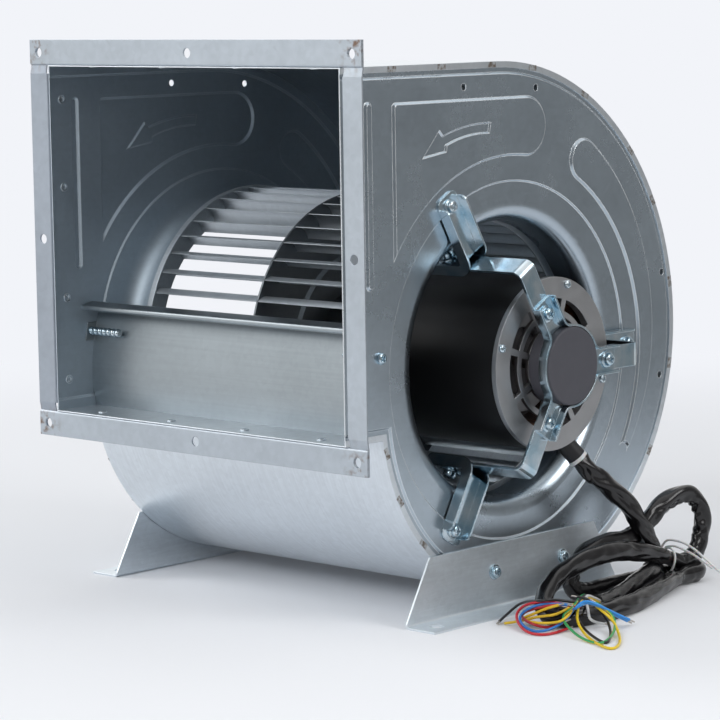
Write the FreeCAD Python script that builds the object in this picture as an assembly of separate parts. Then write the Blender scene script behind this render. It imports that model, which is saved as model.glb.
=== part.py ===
import FreeCAD, Part
import math
import os

# Double-inlet centrifugal blower: a galvanised scroll housing with a forward-curved
# wheel, driven by a motor that hangs in the inlet of one side.
# Millimetres. X is the fan axis with the motor side at +X, the outlet faces -Y and Z
# is up. The origin is on the floor, below the shaft axis and midway between the sides.

# Sheet and bar thicknesses
sheet = 1.0
flange_sheet = 1.5
foot_sheet = 2.0
bracket_sheet = 2.0
arm_thickness = 3.0

# Scroll housing. Three arcs that meet tangentially run from the outlet's top edge
# round the back and under the wheel to the outlet's floor.
axis_height = 236.0
housing_width = 395.0
outlet_height = 341.0
outlet_reach = 230.0
scroll_centre_back = 16.5
scroll_centre_rise = 14.5
scroll_top_radius = 270.0
scroll_back_radius = 240.0
scroll_front_radius = 200.0
rim_recess = 2.0
joggle_inset = 10.0
lip_width = 6.0

# Inlets in both side plates
throat_radius = 133.0
bell_radius = 17.5
throat_length = 20.5
dish_radius = 172.0
dish_depth = 1.5

# Pressed areas of the side plates
press_height = 2.2
press_radius = 195.0
panel_front = -164.0
panel_top = 487.0
panel_end_back = 25.0
panel_corner = 5.0
rib_front = -201.5
rib_width = 10.5
rib_bottom = 318.0
rib_top = 489.0
kidney_inset = 37.0
kidney_start = 59.0
kidney_end = -32.0
arrow_depth = 1.4
plate_hole = 6.5
plate_hole_places = ((-64.5, 498.0), (40.0, 494.0), (236.0, 302.0), (232.0, 198.0))

# Cut-off plate under the outlet's throat
cutoff_lap = 15.0
cutoff_arc_top = 272.5
cutoff_bend = 9.0
cutoff_nose_run = 11.0
cutoff_nose_drop = 12.0
cutoff_hem_bend = 2.2
cutoff_hem_return = 6.0
cutoff_tab = 12.0
cutoff_tab_bottom = 246.0
cutoff_tab_top = 264.0
cutoff_side_gap = 0.3
cutoff_screw_height = 256.0
cutoff_screw_front = -184.0

# Outlet flange, four rolled angles
flange_width = 25.0
flange_leg = 25.0
flange_bend = 1.0
flange_joggle = 8.0
flange_hole = 9.5
flange_hole_edge = 12.5

# Feet
foot_bottom_half = 155.0
foot_top_half = 122.0
foot_height = 63.0
foot_base_width = 36.5
foot_bend = 2.5
foot_hole = 13.5
foot_hole_spread = 132.5
foot_hole_edge = 17.5
foot_screw_places = ((-30.0, 35.5), (72.5, 35.5))

# Screws with a pan head
screw_head = 11.0
screw_head_height = 4.0
screw_shank = 5.0
screw_length = 9.0
screw_clearance = 0.25

# Wheel
wheel_radius = 156.0
wheel_width = 298.0
blade_count = 44
blade_sheet = 0.8
blade_inner_radius = 134.0
blade_lead_angle = 3.0
blade_curve_radius = 15.0
wheel_ring_sheet = 1.5
wheel_ring_inner_radius = 132.0
wheel_ring_skirt = 5.0
wheel_disc_sheet = 2.0
disc_press_inner = 60.0
disc_press_outer = 96.0
disc_press_height = 3.0
slot_clearance = 0.1
hub_radius = 20.0
hub_length = 44.0
hub_flange_radius = 38.0
hub_flange_thickness = 4.0
set_screw_radius = 4.0
set_screw_head = 5.0

# Motor
shaft_radius = 6.35
shaft_overhang = 18.0
fit_clearance = 0.03
motor_radius = 82.0
motor_shell_sheet = 2.5
motor_shell_start = 75.0
motor_shell_length = 168.5
shield_radius = 82.5
shield_depth = 5.2
shield_plate = 4.0
shield_spigot = 3.0
shield_boss_radius = 28.0
shield_boss_height = 13.0
shield_boss_depth = 5.0
outer_slot_radii = (51.5, 62.5)
inner_slot_radii = (36.0, 46.0)
slot_count = 8
slot_spoke = 6.0
slot_phase = 28.5
shield_screw_circle = 77.0
shield_screw_phase = 73.5
shield_screw_head = 8.0
shield_screw_head_height = 3.0
shield_screw_shank = 4.0
shield_screw_length = 8.0
core_length = 90.0
air_gap = 0.5
rotor_radius = 49.5
rotor_ring_step = 1.5
winding_inner_radius = 54.0
winding_outer_radius = 75.0
winding_length = 26.0
winding_rounding = 5.2
rotor_ring_inner_radius = 33.0
rotor_ring_length = 8.0
bearing_radius = 16.0
bearing_width = 10.0

# Motor mount: a hub cap of rubber, a clamp with three lobes, three arms and brackets
arm_angles = (("upper", 120.0), ("lower", 240.0), ("rear", 0.0))
hub_cap_radius = 37.2
hub_cap_start = 250.0
hub_cap_length = 23.7
hub_cap_rounding = 2.0
clamp_sheet = 2.0
clamp_clearance = 0.4
clamp_web_face = 266.0
clamp_wall = 9.0
lobe_reach = 72.0
lobe_fillet = 9.0
arm_width = 22.0
arm_side_clearance = 0.25
arm_root = 46.0
arm_outer_radius = 113.0
arm_bend = 7.5
arm_end = 150.0
clamp_bolt_circle = 59.5
bracket_inside = 25.0
bracket_flange = 12.0
bracket_foot_radius = 116.5
bracket_reach = 188.0
bracket_bend = 4.0
bracket_corner = 18.0
bracket_end_rounding = 5.0
bracket_tongue = 8.0
bracket_screw_radius = 176.0
grommet_radius = 9.0
grommet_place = 171.0
bolt_shank = 6.0
bolt_head = 11.0
bolt_head_height = 4.0
bolt_nut = 10.0
bolt_nut_height = 5.0
washer_radius = 8.0
washer_height = 1.5
grommet_washer_radius = 10.0

# Motor lead
lead_exit_angle = -62.0
lead_exit_place = 226.0
lead_hole_radius = 8.0
boot_radius = 9.5
boot_stand_off = 0.8
boot_depth = 4.0
sleeve_radius = 8.0
collar_radius = 10.0
collar_width = 3.5
tie_width = 4.0
tie_thickness = 1.5

panel_face = housing_width / 2
rim_face = panel_face - rim_recess
wrap_half_width = rim_face + sheet
outlet_top = axis_height + scroll_centre_rise + scroll_top_radius
outlet_floor = outlet_top - outlet_height
outlet_middle = (outlet_top + outlet_floor) / 2
scroll_centre = (scroll_centre_back, axis_height + scroll_centre_rise)
top_centre = (scroll_centre[0] - scroll_top_radius + scroll_back_radius, scroll_centre[1])
front_centre = (scroll_centre[0], scroll_centre[1] - scroll_back_radius + scroll_front_radius)
shaft_point = (0.0, axis_height)
motor_shell_end = motor_shell_start + motor_shell_length
motor_middle = motor_shell_start + motor_shell_length / 2
shield_face = motor_shell_end + shield_depth
arm_back = clamp_web_face - clamp_sheet - arm_thickness

ACROSS = FreeCAD.Vector(1, 0, 0)
BACK = FreeCAD.Vector(0, 1, 0)
UP = FreeCAD.Vector(0, 0, 1)
SHAFT = FreeCAD.Vector(0, 0, axis_height)
TINY = 1e-4


# Drawings are made flat in one of three views and then given depth.


def side_view(y, z):
    return FreeCAD.Vector(0, y, z)


def axial_view(x, radius):
    # The plane through the shaft axis, with the radius measured towards the back.
    return FreeCAD.Vector(x, radius, axis_height)


def front_view(x, z):
    return FreeCAD.Vector(x, 0, z)


def on_circle(centre, radius, angle):
    turn = math.radians(angle)
    return (centre[0] + radius * math.cos(turn), centre[1] + radius * math.sin(turn))


def line(view, start, end):
    return Part.LineSegment(view(*start), view(*end)).toShape()


def arc(view, centre, radius, start, end):
    angles = (start, (start + end) / 2, end)
    return Part.Arc(*[view(*on_circle(centre, radius, angle)) for angle in angles]).toShape()


def arc_through(view, start, middle, end):
    return Part.Arc(view(*start), view(*middle), view(*end)).toShape()


def filled(edges):
    return Part.Face(Part.Wire(edges))


def polygon(view, points):
    return Part.Face(Part.makePolygon([view(*point) for point in points + points[:1]]))


def slab(face, near, far):
    # Gives a side view drawing depth along the fan axis.
    moved = face.copy()
    moved.translate(ACROSS * near)
    return moved.extrude(ACROSS * (far - near))


def centred(face, direction, width):
    # Gives a drawing the same depth on both sides of its plane.
    moved = face.copy()
    moved.translate(direction * (-width / 2))
    return moved.extrude(direction * width)


def disc(radius, near, far, place=shaft_point):
    return Part.makeCylinder(radius, far - near, FreeCAD.Vector(near, *place), ACROSS)


def ring(outer, inner, near, far, place=shaft_point):
    return disc(outer, near, far, place).cut(disc(inner, near, far, place))


def turned(face):
    return face.revolve(SHAFT, ACROSS, 360)


def turned_about_shaft(shape, angle):
    moved = shape.copy()
    moved.rotate(SHAFT, ACROSS, angle)
    return moved


def mirrored(shape, middle=0.0):
    return shape.mirror(FreeCAD.Vector(middle, 0, 0), ACROSS)


def fused(shapes):
    return shapes[0].multiFuse(shapes[1:]).removeSplitter()


def write(name, shape):
    shape.exportStep("parts/" + name + ".step")
    print(name, "solids", len(shape.Solids), "valid", shape.isValid())


def bent_strip(view, start, heading, steps, thickness):
    # Sheet seen on its edge. The middle of the sheet starts at a point with a heading
    # in degrees. A step is a straight length, or a bend's radius and its turn, which
    # is to the left when positive.
    half = thickness / 2
    sides = {1: [], -1: []}
    place = start
    ends = []

    def edge_point(side):
        return on_circle(place, half * side, heading + 90)

    ends.append((edge_point(1), edge_point(-1)))
    for step in steps:
        if isinstance(step, tuple):
            radius, turn = step
            left = math.copysign(1, turn)
            centre = on_circle(place, radius * left, heading + 90)
            first = heading - 90 * left
            for side in sides:
                side_radius = radius - left * side * half
                sides[side].append(arc(view, centre, side_radius, first, first + turn))
            place = on_circle(centre, radius, first + turn)
            heading += turn
        else:
            before = {side: edge_point(side) for side in sides}
            place = on_circle(place, step, heading)
            for side in sides:
                sides[side].append(line(view, before[side], edge_point(side)))
    ends.append((edge_point(1), edge_point(-1)))
    caps = [line(view, *end) for end in ends]
    return filled(sides[1] + [caps[1]] + sides[-1][::-1] + [caps[0]])


# Scroll


def scroll_face(inset):
    # The housing's outline seen along the fan axis, drawn in by an inset on every
    # side but the outlet.
    top = outlet_top - inset
    floor = outlet_floor + inset
    front_radius = scroll_front_radius - inset
    floor_angle = math.degrees(math.asin((floor - front_centre[1]) / front_radius))
    floor_corner = on_circle(front_centre, front_radius, 180 - floor_angle)
    return filled(
        [
            line(side_view, (-outlet_reach, top), (top_centre[0], top)),
            arc(side_view, top_centre, scroll_top_radius - inset, 90, 0),
            arc(side_view, scroll_centre, scroll_back_radius - inset, 0, -90),
            arc(side_view, front_centre, front_radius, -90, -180 - floor_angle),
            line(side_view, floor_corner, (-outlet_reach, floor)),
            line(side_view, (-outlet_reach, floor), (-outlet_reach, top)),
        ]
    )


def scroll_wrap():
    shell = slab(scroll_face(0), -wrap_half_width, wrap_half_width)
    shell = shell.cut(slab(scroll_face(sheet), -wrap_half_width, wrap_half_width))
    lip = slab(scroll_face(0).cut(scroll_face(lip_width)), rim_face, wrap_half_width)
    return fused([shell, lip, mirrored(lip)])


# Pressed areas of the side plates. Each is raised or sunk with a sloped edge all
# round, and the back of the sheet follows.


def sloped_slab(face, base, top, slope):
    solid = slab(face, base, top)
    rim = [e for e in solid.Edges if all(abs(v.X - top) < TINY for v in e.Vertexes)]
    return solid.makeChamfer(slope, rim)


def pressed(plate, drawing, level, depth):
    # The drawing is a function of how far it is drawn in. A sheet that slopes by 45
    # degrees keeps its thickness when its back is drawn in by this inset.
    slope = abs(depth)
    inset = sheet * math.tan(math.radians(22.5))
    if depth > 0:
        added = sloped_slab(drawing(0), level - sheet, level + depth, slope)
        taken = sloped_slab(drawing(inset), level - 2 * sheet, level + depth - sheet, slope)
    else:
        added = sloped_slab(drawing(0), level, level + depth - sheet, slope)
        taken = sloped_slab(drawing(inset), level + sheet, level + depth, slope)
    return plate.fuse(added).cut(taken)


def panel_edge_face(inset):
    return scroll_face(joggle_inset + inset)


def rib_face(inset):
    radius = rib_width / 2 - inset
    middle = rib_front + rib_width / 2
    top = (middle, rib_top - rib_width / 2)
    bottom = (middle, rib_bottom + rib_width / 2)
    return filled(
        [
            arc(side_view, top, radius, 0, 180),
            line(side_view, (middle - radius, top[1]), (middle - radius, bottom[1])),
            arc(side_view, bottom, radius, 180, 360),
            line(side_view, (middle + radius, bottom[1]), (middle + radius, top[1])),
        ]
    )


def wide_panel_face(inset):
    # Straight at the front and top, round at the back end, and hollow below where it
    # follows a circle about the shaft.
    rise = panel_top - axis_height
    end_radius = (rise**2 + panel_end_back**2 - press_radius**2) / 2 / (rise + press_radius)
    end_centre = (panel_end_back, panel_top - end_radius)
    end_low = math.degrees(math.atan2(rise - end_radius, panel_end_back))
    low_radius = press_radius + inset
    front = panel_front + inset
    top = panel_top - inset
    front_low = math.degrees(math.acos(front / low_radius))
    low_corner = on_circle(shaft_point, low_radius, front_low)
    corner = (panel_front + panel_corner, panel_top - panel_corner)
    return filled(
        [
            arc(side_view, shaft_point, low_radius, front_low, end_low),
            arc(side_view, end_centre, end_radius - inset, end_low - 180, 90),
            line(side_view, (panel_end_back, top), (corner[0], top)),
            arc(side_view, corner, panel_corner - inset, 90, 180),
            line(side_view, (front, corner[1]), low_corner),
        ]
    )


def kidney_end_circle(centre, radius, angle):
    # The circle that touches the inner circle about the shaft at an angle and the
    # outer arc from inside: its centre, its radius and where it touches the arc.
    along = on_circle((0, 0), 1, angle)
    offset = (shaft_point[0] - centre[0], shaft_point[1] - centre[1])
    lead = along[0] * offset[0] + along[1] * offset[1]
    spread = radius**2 - press_radius**2 - offset[0] ** 2 - offset[1] ** 2
    end_radius = (spread - 2 * press_radius * lead) / 2 / (lead + press_radius + radius)
    end_centre = on_circle(shaft_point, press_radius + end_radius, angle)
    touch = math.atan2(end_centre[1] - centre[1], end_centre[0] - centre[0])
    return end_centre, end_radius, math.degrees(touch)


def kidney_face(inset):
    # Inside it follows a circle about the shaft, outside the scroll itself.
    top_radius = scroll_top_radius - kidney_inset
    back_radius = scroll_back_radius - kidney_inset
    high, high_radius, high_touch = kidney_end_circle(top_centre, top_radius, kidney_start)
    low, low_radius, low_touch = kidney_end_circle(scroll_centre, back_radius, kidney_end)
    return filled(
        [
            arc(side_view, shaft_point, press_radius + inset, kidney_start, kidney_end),
            arc(side_view, low, low_radius - inset, kidney_end - 180, low_touch - 360),
            arc(side_view, scroll_centre, back_radius - inset, low_touch, 0),
            arc(side_view, top_centre, top_radius - inset, 0, high_touch),
            arc(side_view, high, high_radius - inset, high_touch, kidney_start + 180),
        ]
    )


def arrow_face(inset):
    # The arrow that shows which way the wheel turns.
    tail_top = (-28.0, 464.5)
    tail_bottom = (-30.5, 453.0)
    neck_top = (-96.5, 455.0)
    neck_bottom = (-91.0, 444.5)
    barb_top = (-101.5, 460.5)
    barb_bottom = (-91.5, 438.5)
    tip = (-127.0, 433.5)
    face = filled(
        [
            arc_through(side_view, tail_top, (-62.0, 462.8), neck_top),
            line(side_view, neck_top, barb_top),
            line(side_view, barb_top, tip),
            line(side_view, tip, barb_bottom),
            line(side_view, barb_bottom, neck_bottom),
            arc_through(side_view, neck_bottom, (-60.0, 451.8), tail_bottom),
            line(side_view, tail_bottom, tail_top),
        ]
    )
    return face.makeOffset2D(-inset) if inset else face


def inlet_bell():
    # A shallow dish, then a roll of a quarter circle into the throat.
    dish_face = panel_face - dish_depth
    roll = (dish_face - bell_radius, throat_radius + bell_radius)
    throat_end = roll[0] - throat_length
    inner_roll = bell_radius - sheet
    slope_end = dish_radius - dish_depth
    outside = [
        line(axial_view, (panel_face, dish_radius), (dish_face, slope_end)),
        line(axial_view, (dish_face, slope_end), (dish_face, roll[1])),
        arc(axial_view, roll, bell_radius, 0, -90),
        line(axial_view, (roll[0], throat_radius), (throat_end, throat_radius)),
        line(axial_view, (throat_end, throat_radius), (throat_end, throat_radius + sheet)),
    ]
    behind = [
        line(axial_view, (throat_end, throat_radius + sheet), (roll[0], throat_radius + sheet)),
        arc(axial_view, roll, inner_roll, -90, 0),
        line(axial_view, (dish_face - sheet, roll[1]), (dish_face - sheet, slope_end)),
        line(axial_view, (dish_face - sheet, slope_end), (panel_face - sheet, dish_radius)),
        line(axial_view, (panel_face - sheet, dish_radius), (panel_face, dish_radius)),
    ]
    return turned(filled(outside + behind))


def side_plate():
    plate = slab(scroll_face(sheet), rim_face - sheet, rim_face)
    plate = pressed(plate, panel_edge_face, rim_face, rim_recess)
    for drawing in (rib_face, wide_panel_face, kidney_face):
        plate = pressed(plate, drawing, panel_face, press_height)
    plate = pressed(plate, arrow_face, panel_face + press_height, -arrow_depth)
    plate = plate.cut(disc(dish_radius, rim_face - 3 * sheet, panel_face + sheet))
    plate = plate.fuse(inlet_bell())
    holes = [(plate_hole / 2, place) for place in plate_hole_places]
    screw_hole = screw_shank / 2 + screw_clearance
    holes += [(screw_hole, place) for place in foot_screw_places]
    holes.append((screw_hole, (cutoff_screw_front, cutoff_screw_height)))
    return drilled(plate, holes).removeSplitter()


def drilled(plate, holes):
    for radius, place in holes:
        plate = plate.cut(disc(radius, rim_face - 3 * sheet, panel_face + 3 * sheet, place))
    return plate


def bracket_screw_holes():
    radius = screw_shank / 2 + screw_clearance
    return [(radius, on_circle(shaft_point, bracket_screw_radius, angle)) for name, angle in arm_angles]


# Cut-off plate


def cutoff_plate():
    # It goes on from the wrap's front arc, curls forward over its top and ends in a
    # hem that points into the outlet. Its ends are bent forward onto the side plates.
    middle_radius = scroll_front_radius - sheet - sheet / 2
    lap = math.degrees(cutoff_lap / middle_radius)
    floor_angle = math.degrees(math.asin((outlet_floor - front_centre[1]) / middle_radius))
    top_angle = math.degrees(math.asin((cutoff_arc_top - front_centre[1]) / middle_radius))
    bottom = 180 - floor_angle + lap
    sweep = -(top_angle - floor_angle + lap)
    heading = bottom - 90
    level = 180 + cutoff_nose_drop
    steps = [
        (middle_radius, sweep),
        (cutoff_bend, level - heading - sweep),
        cutoff_nose_run,
        (cutoff_hem_bend, 180),
        cutoff_hem_return,
    ]
    start = on_circle(front_centre, middle_radius, bottom)
    profile = bent_strip(side_view, start, heading, steps, sheet)
    inside = panel_face - sheet
    plate = centred(profile, ACROSS, 2 * inside)
    notch_top = outlet_floor + joggle_inset + rim_recess + 2 * sheet
    rim_side = rim_face - sheet - cutoff_side_gap
    notch = Part.makeBox(
        joggle_inset, 2 * cutoff_bend + joggle_inset * 2, outlet_height,
        FreeCAD.Vector(rim_side, front_centre[0] - scroll_front_radius, notch_top - outlet_height)
    )
    plate = plate.cut(notch).cut(mirrored(notch))
    tab = ring(middle_radius + cutoff_tab, middle_radius, inside - sheet, inside, front_centre)
    tab = tab.common(Part.makeBox(
        sheet, middle_radius + cutoff_tab, cutoff_tab_top - cutoff_tab_bottom,
        FreeCAD.Vector(inside - sheet, front_centre[0] - middle_radius - cutoff_tab, cutoff_tab_bottom)
    ))
    hole = disc(screw_shank / 2 + screw_clearance, inside - 2 * sheet, inside + sheet,
                (cutoff_screw_front, cutoff_screw_height))
    tab = tab.cut(hole)
    return fused([plate, tab, mirrored(tab)])


# Outlet flange


def flange_angle(view, toe, heading, turn):
    run_in = flange_leg - flange_bend - flange_sheet
    run_out = flange_width - flange_bend - flange_sheet
    bend = flange_bend + flange_sheet / 2
    return bent_strip(view, toe, heading, [run_in, (bend, turn), run_out], flange_sheet)


def flange_holes():
    across = panel_face + flange_width - flange_hole_edge
    rise = outlet_height / 2 + flange_width - flange_hole_edge
    holes = []
    for x in (-across, 0, across):
        for z in (-rise, 0, rise):
            place = FreeCAD.Vector(x, -outlet_reach - flange_sheet, outlet_middle + z)
            if x or z:
                holes.append(Part.makeCylinder(flange_hole / 2, 4 * flange_sheet, place, BACK))
    return Part.makeCompound(holes)


def flange_level(top):
    # The top or bottom strip, in front of the upright ones at the corners.
    leg_middle = flange_sheet / 2
    toe_y = -outlet_reach + flange_leg
    if top:
        section = flange_angle(side_view, (toe_y, outlet_top + leg_middle), 180, -90)
    else:
        section = flange_angle(side_view, (toe_y, outlet_floor - leg_middle), 180, 90)
    strip = centred(section, ACROSS, housing_width + 2 * flange_width)
    corner = Part.makeBox(
        flange_width, flange_leg, 2 * outlet_height,
        FreeCAD.Vector(panel_face, -outlet_reach + flange_sheet, outlet_middle - outlet_height)
    )
    return strip.cut(corner).cut(mirrored(corner)).cut(flange_holes())


def flange_upright():
    # An upright strip whose ends step back behind the top and bottom strips.
    toe = (panel_face + flange_sheet / 2, -outlet_reach + flange_leg)
    section = flange_angle(axial_view, toe, -90, 90)
    low = outlet_floor + flange_joggle
    high = outlet_top - flange_joggle
    section.translate(UP * (low - axis_height))
    strip = section.extrude(UP * (high - low))
    front = -outlet_reach
    end = outlet_top + flange_width
    tab = polygon(
        side_view,
        [
            (front, high),
            (front + flange_sheet, outlet_top),
            (front + flange_sheet, end),
            (front + 2 * flange_sheet, end),
            (front + 2 * flange_sheet, outlet_top),
            (front + flange_sheet, high),
        ],
    )
    tab = slab(tab, panel_face + flange_bend + flange_sheet, panel_face + flange_width)
    low_tab = tab.mirror(FreeCAD.Vector(0, 0, outlet_middle), UP)
    return fused([strip, tab, low_tab]).cut(flange_holes())


# Feet


def foot():
    top = (panel_face + foot_sheet / 2, foot_height)
    bend = foot_bend + foot_sheet / 2
    down = foot_height - foot_sheet - foot_bend
    out = foot_base_width - foot_sheet - foot_bend
    section = bent_strip(front_view, top, -90, [down, (bend, 90), out], foot_sheet)
    plate = centred(section, BACK, 2 * foot_bottom_half)
    base_top = foot_sheet + foot_bend
    outline = polygon(
        side_view,
        [
            (-foot_bottom_half, 0),
            (foot_bottom_half, 0),
            (foot_bottom_half, base_top),
            (foot_top_half, foot_height),
            (-foot_top_half, foot_height),
            (-foot_bottom_half, base_top),
        ],
    )
    plate = plate.common(slab(outline, panel_face, panel_face + foot_base_width))
    for side in (-1, 1):
        place = FreeCAD.Vector(
            panel_face + foot_base_width - foot_hole_edge, side * foot_hole_spread, -foot_sheet
        )
        plate = plate.cut(Part.makeCylinder(foot_hole / 2, 3 * foot_sheet, place, UP))
    for place in foot_screw_places:
        hole = disc(screw_shank / 2 + screw_clearance, panel_face - sheet,
                    panel_face + 2 * foot_sheet, place)
        plate = plate.cut(hole)
    return plate


# Fasteners


def pan_head_screw(seat, head, head_height, shank, length, washer=0.0, washer_thickness=0.0):
    # Points to -X with its head on the +X side of the seat, drawn on the shaft axis.
    head_seat = seat + washer_thickness
    top = head_seat + head_height
    radius = head / 2
    crown = radius * 0.55
    points = [
        line(axial_view, (seat - length, 0), (seat - length, shank / 2)),
        line(axial_view, (seat - length, shank / 2), (seat, shank / 2)),
    ]
    last = (seat, shank / 2)
    if washer:
        points.append(line(axial_view, last, (seat, washer)))
        points.append(line(axial_view, (seat, washer), (head_seat, washer)))
        last = (head_seat, washer)
    bulge = (head_seat + head_height * 0.78, radius * 0.88)
    points += [
        line(axial_view, last, (head_seat, radius)),
        arc_through(axial_view, (head_seat, radius), bulge, (top, crown)),
        line(axial_view, (top, crown), (top, 0)),
        line(axial_view, (top, 0), (seat - length, 0)),
    ]
    return turned(filled(points))


def moved_to(shape, place):
    # Moves what was drawn on the shaft axis to another place in the side view.
    moved = shape.copy()
    moved.translate(FreeCAD.Vector(0, place[0], place[1] - axis_height))
    return moved


def side_screw(seat, place):
    screw = pan_head_screw(seat, screw_head, screw_head_height, screw_shank, screw_length)
    return moved_to(screw, place)


def hexagon(across_flats, near, far):
    corner = across_flats / 2 / math.cos(math.radians(30))
    points = [on_circle(shaft_point, corner, 60 * k) for k in range(6)]
    return slab(polygon(side_view, points), near, far)


def nut(near, far):
    return hexagon(bolt_nut, near, far).cut(disc(bolt_shank / 2 + fit_clearance, near, far))


# Wheel


def blade_face(thickness):
    # A blade is an arc that leans forward at its tip, hollow side first, the way the
    # wheel turns.
    outer = wheel_radius - wheel_ring_sheet - fit_clearance - blade_sheet / 2
    root = on_circle(shaft_point, blade_inner_radius, 0)
    tip = on_circle(shaft_point, outer, blade_lead_angle)
    chord = math.dist(root, tip)
    lean = math.degrees(math.atan2(tip[1] - root[1], tip[0] - root[0]))
    half = math.degrees(math.asin(chord / 2 / blade_curve_radius))
    step = (blade_curve_radius, 2 * half)
    return bent_strip(side_view, root, lean - half, [step], thickness)


def blade_ring(thickness, near, far):
    blade = slab(blade_face(thickness), near, far)
    pitch = 360 / blade_count
    return [turned_about_shaft(blade, pitch * k) for k in range(blade_count)]


def wheel_blades():
    half = wheel_width / 2 - wheel_ring_sheet
    return Part.makeCompound(blade_ring(blade_sheet, -half, half))


def wheel_centre_disc():
    half = wheel_disc_sheet / 2
    outer = wheel_radius - wheel_ring_sheet
    bore = hub_radius + fit_clearance
    rise = disc_press_height
    profile = polygon(
        axial_view,
        [
            (-half, bore),
            (half, bore),
            (half, disc_press_inner),
            (half + rise, disc_press_inner + rise),
            (half + rise, disc_press_outer - rise),
            (half, disc_press_outer),
            (half, outer),
            (-half, outer),
            (-half, disc_press_outer),
            (rise - half, disc_press_outer - rise),
            (rise - half, disc_press_inner + rise),
            (-half, disc_press_inner),
        ],
    )
    slots = blade_ring(blade_sheet + 2 * slot_clearance, -2 * half, 2 * half)
    return turned(profile).cut(slots)


def wheel_end_ring():
    # A flat ring over the blades' ends with a skirt round their tips.
    face_out = wheel_width / 2
    face_in = face_out - wheel_ring_sheet
    skirt_end = face_in - wheel_ring_skirt
    inner = wheel_radius - wheel_ring_sheet
    profile = polygon(
        axial_view,
        [
            (face_out, wheel_ring_inner_radius),
            (face_out, wheel_radius),
            (skirt_end, wheel_radius),
            (skirt_end, inner),
            (face_in, inner),
            (face_in, wheel_ring_inner_radius),
        ],
    )
    return turned(profile)


def set_screw_solids():
    # A square-headed screw that points at the shaft through the hub's wall.
    place = FreeCAD.Vector(hub_length / 2 - 2 * set_screw_radius, shaft_radius + fit_clearance, axis_height)
    shank = Part.makeCylinder(set_screw_radius, hub_radius - shaft_radius + 2, place, BACK)
    side = set_screw_radius * 2.2
    head_place = FreeCAD.Vector(place.x - side / 2, hub_radius + 2, axis_height - side / 2)
    head = Part.makeBox(side, set_screw_head, side, head_place)
    return shank.fuse(head)


def wheel_hub():
    half = hub_length / 2
    disc_half = wheel_disc_sheet / 2
    hub = disc(hub_radius, -half, half)
    flange = disc(hub_flange_radius, disc_half, disc_half + hub_flange_thickness)
    hub = hub.fuse(flange).cut(disc(shaft_radius + fit_clearance, -half, half))
    place = FreeCAD.Vector(half - 2 * set_screw_radius, 0, axis_height)
    bore = Part.makeCylinder(set_screw_radius + fit_clearance, hub_radius * 2, place, BACK)
    return hub.cut(bore)


# Motor


def ring_sector(outer, inner, start, end, near, far):
    edges = [
        arc(side_view, shaft_point, outer, start, end),
        line(side_view, on_circle(shaft_point, outer, end), on_circle(shaft_point, inner, end)),
        arc(side_view, shaft_point, inner, end, start),
        line(side_view, on_circle(shaft_point, inner, start), on_circle(shaft_point, outer, start)),
    ]
    return slab(filled(edges), near, far)


def motor_end_shield():
    # A cast ring and hub joined by a slotted plate, with a boss that holds the bearing.
    plate_back = shield_face - shield_plate
    boss_end = shield_face + shield_boss_height
    solids = [
        ring(shield_radius, outer_slot_radii[1], motor_shell_end, shield_face),
        ring(motor_radius - motor_shell_sheet, outer_slot_radii[1],
             motor_shell_end - shield_spigot, motor_shell_end),
        disc(outer_slot_radii[1], plate_back, shield_face),
        disc(shield_boss_radius, plate_back - shield_boss_depth, boss_end),
    ]
    shield = fused(solids)
    step = 360 / slot_count
    cuts = []
    for inner, outer in (outer_slot_radii, inner_slot_radii):
        half_spoke = math.degrees(slot_spoke / (inner + outer))
        for k in range(slot_count):
            start = slot_phase + step * k + half_spoke
            end = slot_phase + step * (k + 1) - half_spoke
            cuts.append(ring_sector(outer, inner, start, end, plate_back, shield_face))
    for angle in shield_screw_angles():
        place = on_circle(shaft_point, shield_screw_circle, angle)
        hole = shield_screw_shank / 2 + fit_clearance
        cuts.append(disc(hole, shield_face - shield_screw_length, shield_face, place))
    bearing_end = shield_face + shield_plate
    cuts.append(disc(bearing_radius, plate_back - shield_boss_depth, bearing_end))
    cuts.append(disc(shaft_radius + 1, bearing_end, boss_end))
    return shield.cut(cuts)


def shield_screw_angles():
    return [shield_screw_phase + 90 * k for k in range(4)]


def shield_screws():
    screw = pan_head_screw(
        shield_face, shield_screw_head, shield_screw_head_height, shield_screw_shank,
        shield_screw_length
    )
    outer = [
        moved_to(screw, on_circle(shaft_point, shield_screw_circle, angle))
        for angle in shield_screw_angles()
    ]
    return outer + [mirrored(each, motor_middle) for each in outer]


def lead_hole():
    cutter = disc(lead_hole_radius, 0, motor_radius * 1.3)
    cutter.rotate(SHAFT, UP, 90)
    cutter.translate(ACROSS * lead_exit_place)
    return turned_about_shaft(cutter, lead_exit_angle)


def motor_shell():
    shell = ring(motor_radius, motor_radius - motor_shell_sheet, motor_shell_start, motor_shell_end)
    return shell.cut(lead_hole())


def bearings():
    # Outer rings stay with the motor's frame and inner rings turn with the shaft.
    end = shield_face + shield_plate
    gap = (bearing_radius - shaft_radius) / 2
    split = shaft_radius + gap
    outer = ring(bearing_radius, split + fit_clearance, end - bearing_width, end)
    inner = ring(split, shaft_radius + fit_clearance, end - bearing_width, end)
    return [outer, mirrored(outer, motor_middle)], [inner, mirrored(inner, motor_middle)]


def stator_core():
    start = motor_middle - core_length / 2
    return ring(motor_radius - motor_shell_sheet, rotor_radius + air_gap, start, start + core_length)


def stator_windings():
    start = motor_middle + core_length / 2
    coil = ring(winding_outer_radius, winding_inner_radius, start, start + winding_length)
    ends = [e for e in coil.Edges if abs(e.Vertexes[0].X - start - winding_length) < TINY]
    coil = coil.makeFillet(winding_rounding, [e for e in ends if len(e.Vertexes) == 1])
    return [coil, mirrored(coil, motor_middle)]


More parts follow.
